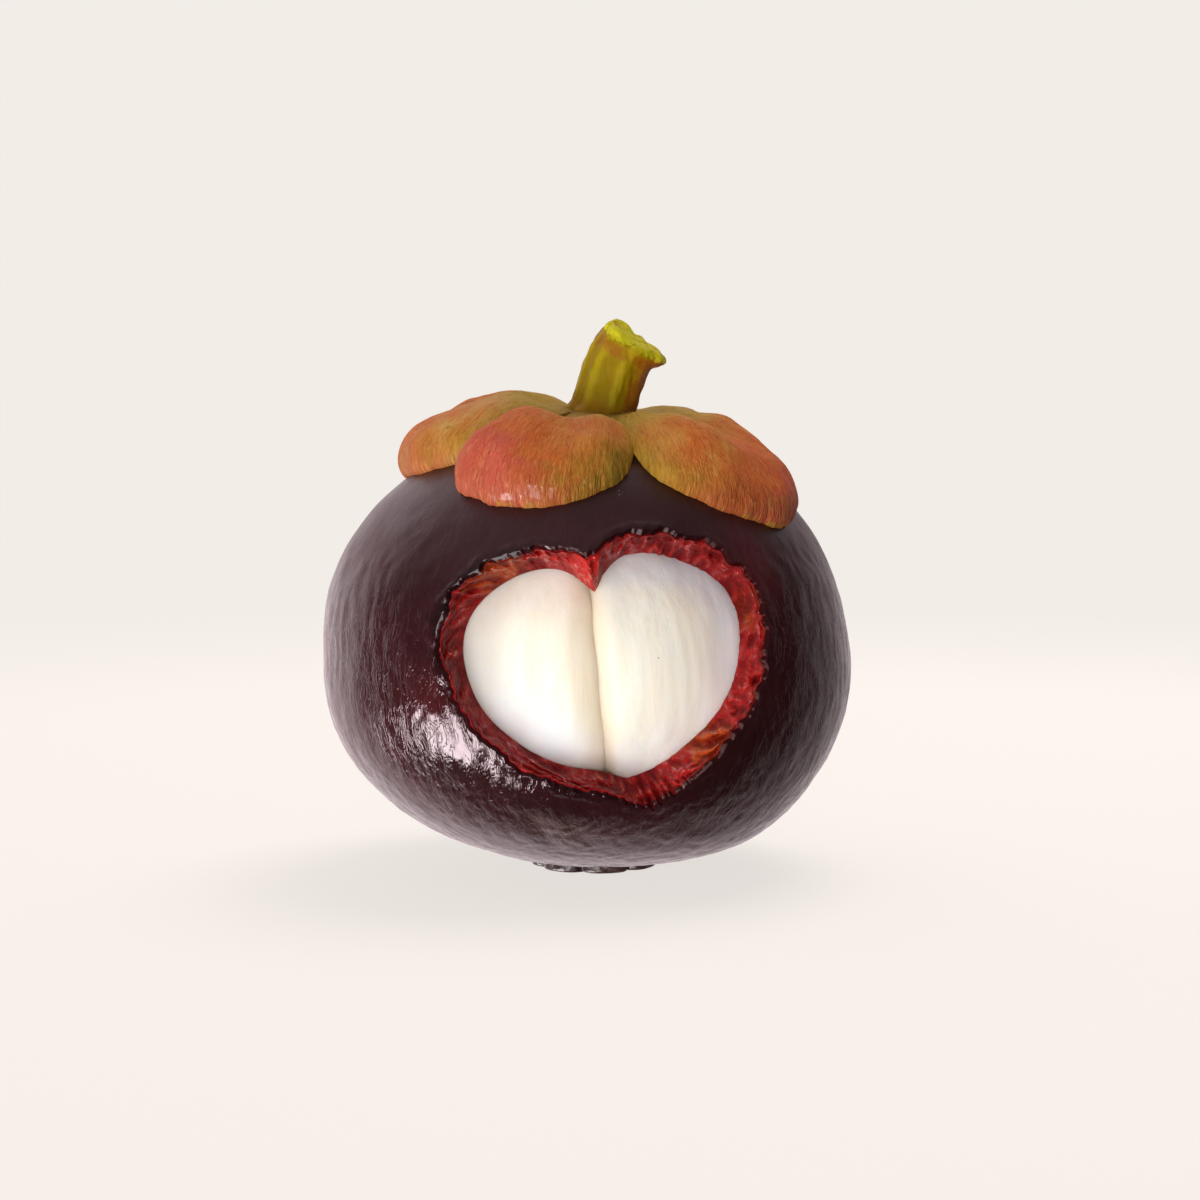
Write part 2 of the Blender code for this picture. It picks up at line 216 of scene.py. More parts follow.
def skin_points(directions, lift=0.0):
    """Points of the skin in directions from the middle of the body, raised by lift."""
    offset = directions * egg_radius(directions, BODY_RADIUS, BODY_TOP, BODY_BOTTOM)[..., None]
    height = offset[..., 2]
    upper = UPPER_LEAN * np.sin(np.pi * height / BODY_TOP)
    lower = LOWER_LEAN * (-height / BODY_BOTTOM) ** 3
    offset[..., 0] += np.where(height > 0, upper, lower)
    points = BODY_CENTRE + offset
    from_axis = np.hypot(points[..., 0], points[..., 1]) / STIGMA_HOLLOW_RADIUS
    hollow = STIGMA_HOLLOW_DEPTH * np.exp(-from_axis ** STIGMA_HOLLOW_STEEPNESS)
    points[..., 2] += np.where(directions[..., 2] < 0, hollow, 0.0)
    return points + directions * np.broadcast_to(lift, directions.shape[:-1])[..., None]


def flesh_radius(directions):
    return egg_radius(turned(directions, -FLESH_LEAN), FLESH_RADIUS, FLESH_TOP, FLESH_BOTTOM)


OUTWARD = np.array([
    math.cos(WINDOW_ELEVATION) * math.cos(WINDOW_AZIMUTH),
    math.cos(WINDOW_ELEVATION) * math.sin(WINDOW_AZIMUTH),
    math.sin(WINDOW_ELEVATION),
])
SIDEWAYS = unit(np.cross(UP, OUTWARD))
UPWARD = np.cross(OUTWARD, SIDEWAYS)


def window_directions(turn_degrees, away):
    """Directions at angles round the window and angles away from its middle."""
    turn = np.radians(np.broadcast_to(turn_degrees, away.shape))[..., None]
    across = SIDEWAYS * np.cos(turn) + UPWARD * np.sin(turn)
    return across * np.sin(away)[..., None] + OUTWARD * np.cos(away)[..., None]


def window_edge(turn_degrees):
    """Angle from the window's middle to its edge on the skin."""
    right = smooth_through(RIGHT_LOBE, turn_degrees)
    left = smooth_through(LEFT_LOBE, turn_degrees)
    return np.where(turn_degrees > CLEFT_ANGLE, left, right) * MM / BODY_RADIUS


def window_turns(columns):
    """Angles round the window for the columns of a grid, anticlockwise as seen from behind."""
    return TIP_ANGLE + FULL_TURN * (1.0 - np.arange(columns) / columns)


def round_window(directions):
    """The angle round the window, and how far outside its edge the direction is, in metres of skin."""
    forward = np.clip(directions @ OUTWARD, -1.0, 1.0)
    turn = np.degrees(np.arctan2(directions @ UPWARD, directions @ SIDEWAYS))
    turn = TIP_ANGLE + (turn - TIP_ANGLE) % FULL_TURN
    return turn, (np.arccos(forward) - window_edge(turn)) * BODY_RADIUS


def shoulder_directions(flat):
    """Directions for points of the calyx's flat plan, which wraps over the shoulder."""
    distance = np.maximum(np.linalg.norm(flat, axis=-1), TINY)
    polar = distance / CALYX_SCALE
    across = flat / distance[..., None] * np.sin(polar)[..., None]
    return turned(np.concatenate([across, np.cos(polar)[..., None]], axis=-1), CALYX_TILT)


# Helper for meshes

def make_piece(name, points, material, node, top=None, bottom=None, marks=None):
    """A piece from a grid of rows by columns that closes round, with a pole at either end if given.

    Rows run away from the top pole and columns anticlockwise round it. marks are values for each
    point, which the material reads by name.
    """
    rows, columns = points.shape[:2]
    numbers = np.arange(rows * columns).reshape(rows, columns)
    after = np.roll(numbers, -1, axis=1)
    faces = np.stack([numbers[:-1], numbers[1:], after[1:], after[:-1]], axis=-1).reshape(-1, 4).tolist()
    places = points.reshape(-1, 3)
    marks = {mark: values.reshape(len(places), -1) for mark, values in (marks or {}).items()}
    for pole, row, at_top in ((top, 0, True), (bottom, rows - 1, False)):
        if pole is not None:
            for here, there in zip(numbers[row].tolist(), after[row].tolist()):
                faces.append([here, there, len(places)] if at_top else [there, here, len(places)])
            places = np.concatenate([places, np.reshape(pole, (1, 3))])
            marks = {
                mark: np.concatenate([values, values.mean(axis=0, keepdims=True)])
                for mark, values in marks.items()
            }
    mesh = bpy.data.meshes.new(name)
    mesh.from_pydata(places.tolist(), [], faces)
    for mark, values in marks.items():
        single = values.shape[1] == 1
        attribute = mesh.attributes.new(mark, "FLOAT" if single else "FLOAT_VECTOR", "POINT")
        attribute.data.foreach_set("value" if single else "vector", values.astype(np.float32).ravel())
    mesh.shade_smooth()
    mesh.materials.append(material)
    piece = bpy.data.objects.new(name, mesh)
    bpy.context.scene.collection.objects.link(piece)
    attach(piece, "root")
    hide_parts(node)


# Helper for materials

class Look:
    """A material that is put together node by node."""

    def __init__(self, name):
        self.material = bpy.data.materials.new(name)
        self.material.use_nodes = True
        self.tree = self.material.node_tree
        self.shader = self.tree.nodes["Principled BSDF"]
        self.place = self.tree.nodes.new("ShaderNodeTexCoord").outputs["Object"]

    def put(self, socket, value):
        if isinstance(value, bpy.types.NodeSocket):
            self.tree.links.new(value, socket)
        elif isinstance(value, tuple) and len(value) == 3 and socket.type == "RGBA":
            socket.default_value = (*value, 1.0)
        else:
            socket.default_value = value

    def set(self, **values):
        """Set the shader's own sockets, with underscores for the spaces in their names."""
        for name, value in values.items():
            self.put(self.shader.inputs[name.replace("_", " ")], value)

    def mark(self, name, output="Fac"):
        node = self.tree.nodes.new("ShaderNodeAttribute")
        node.attribute_name = name
        return node.outputs[output]

    def stretched(self, vector, scale):
        node = self.tree.nodes.new("ShaderNodeMapping")
        self.put(node.inputs["Vector"], vector)
        node.inputs["Scale"].default_value = scale
        return node.outputs["Vector"]

    def swirled(self, vector, step, size):
        """A vector moved about by smooth noise of some step and size."""
        node = self.tree.nodes.new("ShaderNodeVectorMath")
        node.operation = "MULTIPLY_ADD"
        self.put(node.inputs[0], self.noise(step, output="Color"))
        self.put(node.inputs[1], (size, size, size))
        self.put(node.inputs[2], vector)
        return node.outputs["Vector"]

    def noise(self, step, vector=None, detail=2.0, rough=0.5, twist=0.0, output="Fac"):
        """Noise from 0 to 1 with features about one step across."""
        node = self.tree.nodes.new("ShaderNodeTexNoise")
        self.put(node.inputs["Vector"], vector or self.place)
        node.inputs["Scale"].default_value = 1.0 / step
        node.inputs["Detail"].default_value = detail
        node.inputs["Roughness"].default_value = rough
        node.inputs["Distortion"].default_value = twist
        return node.outputs[output]

    def combine(self, kind, first, second=0.0, third=0.0):
        node = self.tree.nodes.new("ShaderNodeMath")
        node.operation = kind
        for socket, value in zip(node.inputs, (first, second, third)):
            self.put(socket, value)
        return node.outputs["Value"]

    def sum(self, first, second):
        return self.combine("ADD", first, second)

    def times(self, first, second):
        return self.combine("MULTIPLY", first, second)

    def centred(self, value, size=1.0):
        """Noise from 0 to 1 moved to lie round 0, and made larger or smaller."""
        value = self.combine("SUBTRACT", value, 0.5)
        return value if size == 1.0 else self.times(value, size)

    def between(self, value, low, high, start=0.0, end=1.0):
        """Start below low, end above high, and a smooth step between them."""
        node = self.tree.nodes.new("ShaderNodeMapRange")
        node.interpolation_type = "SMOOTHSTEP"
        self.put(node.inputs["Value"], value)
        node.inputs["From Min"].default_value = low
        node.inputs["From Max"].default_value = high
        node.inputs["To Min"].default_value = start
        node.inputs["To Max"].default_value = end
        return node.outputs["Result"]

    def blend(self, amount, first, second):
        return self.combine("MULTIPLY_ADD", self.combine("SUBTRACT", second, first), amount, first)

    def mix(self, amount, first, second):
        node = self.tree.nodes.new("ShaderNodeMix")
        node.data_type = "RGBA"
        sockets = [socket for socket in node.inputs if socket.enabled]
        for socket, value in zip(sockets, (amount, first, second)):
            self.put(socket, value)
        return [socket for socket in node.outputs if socket.enabled][0]

    def tint(self, colour, value, low, high, other, most=1.0):
        """A colour that turns to another one, at most by a share, where the value goes from low to high."""
        return self.mix(self.between(value, low, high, 0.0, most), colour, other)

    def bump(self, height, strength, depth):
        node = self.tree.nodes.new("ShaderNodeBump")
        self.put(node.inputs["Height"], height)
        self.put(node.inputs["Strength"], strength)
        node.inputs["Distance"].default_value = depth
        return node.outputs["Normal"]


# Rind: the skin

# Places on the skin: azimuth, elevation and size in degrees, and strength, which for dents and bulges
# is their depth or height in millimetres
ROSY_PLACES = ((-124, -2, 7, 6, 0.6), (-46, 27, 7, 12, 0.7), (-142, -12, 12, 16, 0.25))
BROWN_PLACES = ((-97, -36, 7, 5, 0.35), (-104, -33, 5, 4, 0.3))
DENTS = ((-104, -35, 3.6, 9, 0.24), (-112, -20, 5, 10, 0.10), (-66, -34, 12, 5, 0.12))
BULGES = ((-12, -47, 45, 14, 0.75),)
SCUFF_PLACES = ((-79, 45, 4, 2.5, 1.0),)
# Places round the window here and below: angle and width in degrees, and strength
LIP_PLACES = ((148.0, 38.0, 0.80), (255.0, 20.0, 0.50), (72.0, 18.0, 0.35))
LIP_LEAST = 0.10
LIP_FADE = (0.4 * MM, 2.0 * MM)
RAGGED_LIP = ((1.3 * MM, 0.9 * MM, 4.4),)
# Layers of noise here and below: step, height and seed
SKIN_LUMPS = ((11.0 * MM, 0.20 * MM, 3.1), (3.2 * MM, 0.07 * MM, 6.3))
STREAKS = ((np.array([1.1, 1.1, 4.0]) * MM, 0.075 * MM, 1.7),)
STREAK_WANDER = np.array([1.4, 1.4, 0.0]) * MM
WANDER_STEP = 4.5 * MM
WANDER_SEED = 8.7
# Elevations where the streaks fade, and where the skin turns matte
CALM_SHOULDER = (22.0, 38.0)
CALM_SHARE = 0.7
MATTE_SHOULDER = (5.0, 30.0)
# The skin swells by the lower part of the window: how far outside its edge, and at which elevations
RIM_SWELL = 0.20 * MM
RIM_SWELL_PLACE = (4.2 * MM, 3.2 * MM)
RIM_SWELL_BAND = (-15.0, 30.0)
SKIN_SINK = 0.09 * MM
SKIN_COLUMNS = 620
SKIN_ROWS = 160
SKIN_CROWDING = 1.25
SKIN_BUMP = 0.30
CUT_BUMP = 0.45
BUMP_DEPTH = 0.20 * MM
SKIN_IOR = 1.50
SKIN_SHINE = (1.0, 0.80, 0.85, 1.0)

PLUM_DARK = (0.021, 0.0050, 0.0056)
PLUM = (0.029, 0.0064, 0.0074)
ROSY = (0.070, 0.008, 0.010)
BROWN = (0.060, 0.026, 0.012)
STREAK_DARK = (0.014, 0.0025, 0.004)
SCUFF_GREY = (0.17, 0.15, 0.14)
LIP_DARK = (0.007, 0.0016, 0.0024)


def angles_of(directions):
    azimuth = np.degrees(np.arctan2(directions[..., 1], directions[..., 0]))
    return azimuth, np.degrees(np.arcsin(np.clip(directions[..., 2], -1.0, 1.0)))


def places_on_skin(directions, places):
    """How near each direction is to any of some places."""
    azimuth, elevation = angles_of(directions)
    total = np.zeros(directions.shape[:-1])
    for middle, height, wide, tall, strength in places:
        total += strength * bell_round(azimuth, middle, wide) * bell(elevation, height, tall)
    return np.clip(total, 0.0, 1.0)


def skin_relief(points, directions, outside):
    """How far the skin stands proud: soft lumps, a few dents and streaks that run down the fruit."""
    elevation = angles_of(directions)[1]
    wander = noise_at(points, WANDER_STEP, WANDER_SEED)[..., None] * STREAK_WANDER
    calm = 1 - CALM_SHARE * ramp_between(*CALM_SHOULDER, elevation)
    relief = layered_noise(points, SKIN_LUMPS) + layered_noise(points + wander, STREAKS) * calm
    swell = RIM_SWELL * bell(outside, *RIM_SWELL_PLACE) * bell(elevation, *RIM_SWELL_BAND)
    dents = (places_on_skin(directions, DENTS) - places_on_skin(directions, BULGES)) * MM
    return relief + swell - dents - SKIN_SINK


def lip_strength(turn):
    """How thick and dark the rolled lip is: most at the left and over the left lobe."""
    return np.minimum(LIP_LEAST + near_places(turn, LIP_PLACES), 1.0)


def meridians(directions):
    """Places on a cylinder round the fruit, where what is long in z runs along the meridians."""
    azimuth, elevation = angles_of(directions)
    around = np.radians(azimuth)
    return BODY_RADIUS * np.stack([np.cos(around), np.sin(around), np.radians(elevation)], axis=-1)


def skin_marks(directions, points):
    """What the skin's material reads: the dark lip, the rosy, brown, scuffed and matte places."""
    turn, outside = round_window(directions)
    ragged = outside + layered_noise(points, RAGGED_LIP)
    return {
        "lip": lip_strength(turn) * (1.0 - ramp_between(*LIP_FADE, ragged)),
        "rosy": places_on_skin(directions, ROSY_PLACES),
        "brown": places_on_skin(directions, BROWN_PLACES),
        "scuff": places_on_skin(directions, SCUFF_PLACES),
        "matte": ramp_between(*MATTE_SHOULDER, angles_of(directions)[1]),
        "meridian": meridians(directions),
    }


def skin_layers(look):
    """The skin's colour, fine relief and roughness, which the cut's own lip has too."""
    bent = look.swirled(look.mark("meridian", "Vector"), 3.5 * MM, 2.6 * MM)
    long_way = look.stretched(bent, (1.0, 1.0, 0.24))
    streaks = look.noise(0.50 * MM, long_way, 3.0, 0.65)
    threads = look.noise(0.8 * MM, long_way, twist=1.2)
    lines = look.between(look.combine("ABSOLUTE", look.centred(threads)), 0.0, 0.07)
    patches = look.noise(9.0 * MM, None, 3.0, 0.55)
    fine = look.noise(0.25 * MM, None, 2.0, 0.6)
    matte = look.mark("matte")

    plum = look.mix(look.between(patches, 0.35, 0.65), PLUM_DARK, PLUM)
    plum = look.mix(look.mark("rosy"), plum, ROSY)
    plum = look.mix(look.mark("brown"), plum, BROWN)
    plum = look.tint(plum, streaks, 0.55, 0.35, STREAK_DARK, 0.4)
    scuff = look.times(look.mark("scuff"), look.noise(0.5 * MM, None, 1.0))
    plum = look.tint(plum, scuff, 0.50, 0.54, SCUFF_GREY)
    plum = look.mix(look.mark("lip"), plum, LIP_DARK)
    height = look.sum(look.times(streaks, 0.7), look.times(lines, 0.35))
    height = look.sum(height, look.times(fine, 0.08))
    height = look.times(height, look.between(matte, 0.0, 1.0, 1.0, 0.45))
    rough = look.sum(look.between(patches, 0.3, 0.7, 0.10, 0.16), look.times(matte, 0.24))
    return plum, height, rough


def skin_look():
    look = Look("rind_skin")
    plum, height, rough = skin_layers(look)
    look.set(
        Base_Color=plum,
        Roughness=rough,
        Normal=look.bump(height, SKIN_BUMP, BUMP_DEPTH),
        IOR=SKIN_IOR,
        Specular_Tint=SKIN_SHINE,
    )
    return look.material


def build_skin(skin):
    """The outer skin, from the point behind the fruit to the lip of the window."""
    turn = window_turns(SKIN_COLUMNS)
    first = window_edge(turn) + LIP_WIDTH / BODY_RADIUS
    left = 1.0 - even_steps(SKIN_ROWS)
    directions = window_directions(turn, first + (np.pi - first) * left ** SKIN_CROWDING)
    plain = skin_points(directions)
    points = skin_points(directions, skin_relief(plain, directions, round_window(directions)[1]))
    marks = skin_marks(directions, plain)
    make_piece("rind_skin", points, skin, "rind", top=skin_points(-OUTWARD), marks=marks)


# Rind: the rolled lip, the cut and the hollow

CUT_COLUMNS = 2 * SKIN_COLUMNS
LIP_ROWS = 16
# How many rows of the lip have the skin's material
SKIN_LIP_ROWS = 12
# The first row of the lip lies just under the skin
SKIRT = -0.17
SKIRT_DROP = 0.03 * MM
# The lip's crest: the share of the lip before it, its width and its roundness
CREST_START = 0.15
CREST_WIDTH = 0.75
CREST_ROUNDNESS = 1.3
CREST_LUMPS = ((1.2 * MM, 1.0, 9.0), (3.0 * MM, 1.6, 1.0))
# The shares of the lip where it drops into the cut, and where its colour turns red
LIP_BEND = (0.7, 1.0)
LIP_REDDENING = (0.78, 1.0)

EDGE_RAGS = ((2.4 * MM, 0.8 * MM, 2.0), (0.9 * MM, 0.5 * MM, 6.0))
DRIP_PLACES = ((291.0, 11.0, 1.0),)
DRIP_STEP = 0.95 * MM
DRIP_LENGTH = 1.7 * MM
DRIP_SHIFTS = ((2.0 * MM, 0.6, 31.0),)
DRIP_LENGTHS = ((1.5 * MM, 1.0, 13.0),)
DRIP_MEAN = 0.55

WALL_ROWS = 44
WALL_CURVE = 1.7
WALL_CLEARANCE = 0.05 * MM
RIDGE_HEIGHT = 0.80 * MM
RIDGE_MEAN = 0.25
RIDGE_SHARE = 0.8
WALL_PATCHES = ((2.2 * MM, 0.9, 11.0),)
WALL_GRAIN = ((0.42 * MM, 0.15 * MM, 7.0),)
# Fibres, in millimetres along and across the cut: how wide the cut counts, how long they take to join
# up where the way round ends, and each kind's slant in radians and seed
WALL_WIDTH = 6.0
WALL_JOIN = 3.0
FIBRE_CREASE = 2.6
STANDING_FIBRES = (0.1, 3.3)
SLANTED_FIBRES = (0.75, 7.7)
LYING_FIBRES = (1.25, 12.1)
SLANTED_PLACES = ((178.0, 36.0, 1.0), (-38.0, 20.0, 1.0))
LYING_PLACES = ((236.0, 26.0, 1.0), (14.0, 22.0, 0.8))
BANDED_PLACES = ((178.0, 34.0, 0.5),)

CAVITY_ROWS = 8
CAVITY_CROWDING = 1.5
CAVITY_CLEARANCE = 0.3 * MM

# Places round the window where the cut is orange, where it has painted shade and where it has painted light
CUT_PLACES = {
    "orange": ((138.0, 13.0, 1.0), (20.0, 14.0, 0.5), (-36.0, 12.0, 1.0)),
    "painted_wall_shade": ((38.0, 45.0, 0.40),),
    "cleft_painted_light": ((CLEFT_ANGLE, 12.0, 0.55),),
}
# Reds of the cut: the deep one is painted shade in the grooves between fibres, the light one painted light
# on their crests
RED_GROOVE_SHADE = (0.150, 0.0045, 0.005)
RED = (0.340, 0.0100, 0.009)
RED_CREST_LIGHT = (0.52, 0.030, 0.022)
RED_BLOTCH = (0.15, 0.004, 0.005)
# Painted light for the cleft, where the fold of the cut lies in shade
CLEFT_PAINTED_LIGHT_RED = (0.55, 0.025, 0.020)
# Painted shade for the wall at the upper right
PAINTED_SHADE_RED = (0.070, 0.005, 0.005)
# The deep orange is painted shade in the grooves between fibres
ORANGE_GROOVE_SHADE = (0.16, 0.008, 0.0015)
ORANGE = (0.40, 0.052, 0.004)
# Painted shade for the hollow behind the flesh
HOLLOW_SHADE_BROWN = (0.10, 0.03, 0.025)


def cut_look():
    """Skin at the lip, and red wet fibres with orange places inside it, with painted shade and painted
    light.
    """
    look = Look("rind_cut")
    plum, skin_height, skin_rough = skin_layers(look)
    height = look.mark("height")
    grain = look.noise(0.5 * MM, None, 3.0, 0.6)
    blotch = look.noise(2.6 * MM)
    inside = look.between(look.sum(look.mark("inside"), look.centred(grain, 1.2)), 0.35, 0.65)
    # Painted shade and light: the cut is darker down in the grooves and lighter on the crests of its fibres
    ridge_shading = look.sum(look.centred(grain), height)
    red = look.mix(look.between(ridge_shading, -0.10, 0.60), RED_GROOVE_SHADE, RED)
    red = look.tint(red, ridge_shading, 0.60, 1.15, RED_CREST_LIGHT)
    red = look.tint(red, blotch, 0.50, 0.70, RED_BLOTCH, 0.4)
    orange = look.mix(look.between(ridge_shading, 0.0, 0.90), ORANGE_GROOVE_SHADE, ORANGE)
    warm = look.sum(look.mark("orange"), look.centred(blotch))
    cut = look.tint(red, warm, 0.35, 0.65, orange)
    # Painted light: the cut is brightened in the cleft, where its sharp fold lies in shade
    cut = look.mix(look.mark("cleft_painted_light"), cut, CLEFT_PAINTED_LIGHT_RED)
    # Painted shade: the wall at the upper right is darkened, as if less lit
    cut = look.mix(look.mark("painted_wall_shade"), cut, PAINTED_SHADE_RED)
    # Painted shade: the hollow behind the flesh turns brown
    cut = look.tint(cut, look.mark("depth"), 1.0, 1.6, HOLLOW_SHADE_BROWN)
    fibres = look.times(look.noise(0.22 * MM, None, 3.0, 0.6), 0.5)
    relief = look.blend(inside, skin_height, fibres)
    wet = look.between(look.noise(0.6 * MM, None, 1.0), 0.52, 0.58)
    wet = look.times(wet, look.between(height, 0.45, 0.65))
    look.set(
        Base_Color=look.mix(inside, plum, cut),
        Roughness=look.blend(inside, skin_rough, 0.45),
        Specular_IOR_Level=0.12,
        Specular_Tint=(1.0, 0.35, 0.32, 1.0),
        Normal=look.bump(relief, look.blend(inside, SKIN_BUMP, CUT_BUMP), BUMP_DEPTH),
        Coat_Weight=look.blend(inside, look.times(look.mark("lip"), 0.8), wet),
        Coat_Roughness=0.08,
    )
    return look.material


def fibres_along(along, across, slant, seed):
    """The height of fibres that run at a slant across the cut; along and across are in millimetres."""
    run = across * math.cos(slant) + along * math.sin(slant)
    side = along * math.cos(slant) - across * math.sin(slant)
    grid = np.stack([side, run, np.full_like(side, seed)], axis=-1)
    broad = 1.0 - FIBRE_CREASE * np.abs(noise_at(grid, (1.7, 3.4, 1.0), seed))
    fine = 1.0 - FIBRE_CREASE * np.abs(noise_at(grid, (0.8, 1.9, 1.0), seed + 5.0))
    uneven = noise_at(grid, (0.5, 0.9, 1.0), seed + 9.0)
    return 0.75 * broad + 0.25 * fine + 0.35 * uneven


def wall_fibres(along, across, turn):
    """Fibres that slant at the left and right, lie along the rim at lower left and stand elsewhere."""
    slanted = np.clip(near_places(turn, SLANTED_PLACES), 0.0, 1.0)
    lying = np.clip(near_places(turn, LYING_PLACES), 0.0, 1.0)
    along, across = np.broadcast_arrays(along, across)
    height = fibres_along(along, across, *STANDING_FIBRES) * (1.0 - slanted) * (1.0 - lying)
    height = height + fibres_along(along, across, *SLANTED_FIBRES) * slanted * (1.0 - lying)
    return height + fibres_along(along, across, *LYING_FIBRES) * lying


def joined_fibres(along, depth, turn):
    """The same, joined up where the way round the window ends, and in two bands at the left."""
    whole = along[-1]
    height = wall_fibres(along, depth * WALL_WIDTH, turn)
    joined = ramp_between(whole - WALL_JOIN, whole, along)
    height = height * (1.0 - joined) + wall_fibres(along - whole, depth * WALL_WIDTH, turn) * joined
    return height * (1.0 - near_places(turn, BANDED_PLACES) * np.cos(2 * np.pi * depth) ** 2)


def ragged_edge(turn, line, along):
    """How far the cut's edge strays outwards from the window's line, with drips at its tip."""
    strand = along / DRIP_STEP + layered_noise(line, DRIP_SHIFTS)
    length = np.clip(DRIP_MEAN + layered_noise(line, DRIP_LENGTHS), 0.0, 1.0) * DRIP_LENGTH
    teeth = (0.5 + 0.5 * np.cos(2 * np.pi * strand)) ** 3
    return layered_noise(line, EDGE_RAGS) + near_places(turn, DRIP_PLACES) * length * teeth


def lip_grid(turn, outer_edge, edge):
    """Points and marks of the rolled dark lip, from the skin to the edge of the cut."""
    lip = np.concatenate([[SKIRT], np.linspace(0.0, 1.0, LIP_ROWS - 1)])[:, None]
    away = edge + (outer_edge + LIP_WIDTH / BODY_RADIUS - edge) * (1.0 - lip)
    directions = window_directions(turn, away)
    plain = skin_points(directions)
    crest = np.clip((lip - CREST_START) / CREST_WIDTH, 0.0, 1.0)
    crest = np.sin(np.pi * crest) ** CREST_ROUNDNESS
    lumps = 1.0 + layered_noise(plain, CREST_LUMPS)
    lift = skin_relief(plain, directions, (away - outer_edge) * BODY_RADIUS)
    lift = lift + LIP_HEIGHT * lip_strength(turn) * crest * lumps
    lift = lift - SKIRT_DROP * (lip < 0.0) - LIP_DROP * ramp_between(*LIP_BEND, lip)
    marks = skin_marks(directions, plain)
    marks.update(depth=0.0 * lip, height=0.4 * crest, inside=ramp_between(*LIP_REDDENING, lip))
    return skin_points(directions, lift), marks


def wall_grid(turn, line, along, outer_edge, edge, inner_edge):
    """Points and marks of the fibrous cut wall, from the lip down to the flesh."""
    depth = even_steps(WALL_ROWS)
    height = joined_fibres(along / MM, depth, turn)
    swell = np.sin(np.pi * (0.10 + 0.78 * depth))
    patchy = 1.0 + layered_noise(line, WALL_PATCHES)
    ridge = RIDGE_HEIGHT * (height - RIDGE_MEAN) * swell * patchy
    sink = (depth ** WALL_CURVE)[..., None]

    def wall(away, proud):
        directions = window_directions(turn, away)
        outer = skin_points(directions, -0.6 * LIP_DROP) - BODY_CENTRE
        inner = directions * (flesh_radius(directions) + WALL_CLEARANCE)[..., None]
        return BODY_CENTRE + outer + (inner - outer) * sink + directions * proud[..., None]

    away = edge + (inner_edge - edge) * depth
    proud = RIDGE_SHARE * (ridge + layered_noise(wall(away, 0.0 * ridge), WALL_GRAIN) * swell)
    points = wall(away - proud / BODY_RADIUS, proud)
    return points, {"depth": depth, "height": height, "inside": 1.0}


def cavity_points(directions):
    return BODY_CENTRE + directions * (flesh_radius(directions) + CAVITY_CLEARANCE)[..., None]


def cavity_grid(turn, inner_edge):
    """Points and marks of the hollow behind the flesh."""
    behind = even_steps(CAVITY_ROWS, 1) ** CAVITY_CROWDING
    directions = window_directions(turn, inner_edge + (math.pi - inner_edge) * behind)
    return cavity_points(directions), {"depth": 1.0 + 5.0 * behind, "height": 0.2, "inside": 1.0}


def joined_marks(grids):
    """The marks of grids that follow one another row by row, 0 where a grid lacks one of the first's."""
    joined = {}
    for mark, first in grids[0][1].items():
        shapes = [(*points.shape[:2], *first.shape[2:]) for points, marks in grids]
        values = [marks.get(mark, 0.0) for points, marks in grids]
        joined[mark] = np.concatenate([np.broadcast_to(*pair) for pair in zip(values, shapes)])
    return joined


def build_rind_cut(skin):
    """The rolled lip in the skin's material, then the cut wall and the hollow behind the flesh."""
    turn = window_turns(CUT_COLUMNS)
    outer_edge = window_edge(turn)
    inner_edge = outer_edge + (WALL_FLARE - CLEFT_SLOPE * bell(turn, CLEFT_ANGLE, CLEFT_SPREAD))
    line = skin_points(window_directions(turn, outer_edge))
    along = np.cumsum(np.linalg.norm(line - np.roll(line, 1, axis=0), axis=1))
    edge = outer_edge + ragged_edge(turn, line, along) / BODY_RADIUS
    grids = (
        lip_grid(turn, outer_edge, edge),
        wall_grid(turn, line, along, outer_edge, edge, inner_edge),
        cavity_grid(turn, inner_edge),
    )
    points = np.concatenate([grid[0] for grid in grids])
    marks = joined_marks(grids)
    for mark, places in CUT_PLACES.items():
        marks[mark] = np.broadcast_to(near_places(turn, places), points.shape[:2])
    outer = slice(0, SKIN_LIP_ROWS)
    inner = slice(SKIN_LIP_ROWS - 1, None)
    outer_marks = {mark: values[outer] for mark, values in marks.items()}
    inner_marks = {mark: values[inner] for mark, values in marks.items()}
    last = cavity_points(-OUTWARD)
    make_piece("rind_lip", points[outer], skin, "rind", marks=outer_marks)
    make_piece("rind_cut", points[inner], cut_look(), "rind", bottom=last, marks=inner_marks)


# Flesh

ARIL_SHARPNESS = 7.0
# Rows and columns
SEEN_ARIL_GRID = (200, 300)
HIDDEN_ARIL_GRID = (44, 64)
SEEN_ARILS = (0, ARIL_COUNT - 1)
SEARCH_STEPS = 26
SEAM_DISTANCE = ARIL_MIDDLE_RADIUS * math.sin(ARIL_SPREAD)
SEAM_GAP = 0.15 * MM
SEAM_OVERLAP = 1.0 * MM
PROUD = 0.25 * MM
# How wide and deep each flank of the valley along the front seam is, left and right
SEAM_FLANKS = ((0.12, 0.55 * MM), (0.05, 0.20 * MM))
ARIL_RELIEF = (
    (np.array([1.0, 1.0, 9.0]) * MM, 0.05 * MM, 0.0),
    (np.array([2.6, 2.6, 14.0]) * MM, 0.14 * MM, 0.5),
    (6.0 * MM, 0.15 * MM, 0.7),
)
# Where the flesh turns grey near the rind, a slight stain and mostly painted shade, and where it has
# painted light: from how far
# # inside the window's edge to how far, and the place round the window
RIM_SHADE_BAND = (-7.0 * MM, -1.0 * MM)
RIM_SHADE_PLACES = ((40.0, 65.0, 1.0),)
PAINTED_LIGHT_BAND = (-9.0 * MM, -2.0 * MM)
PAINTED_LIGHT_PLACES = ((240.0, 60.0, 1.0),)
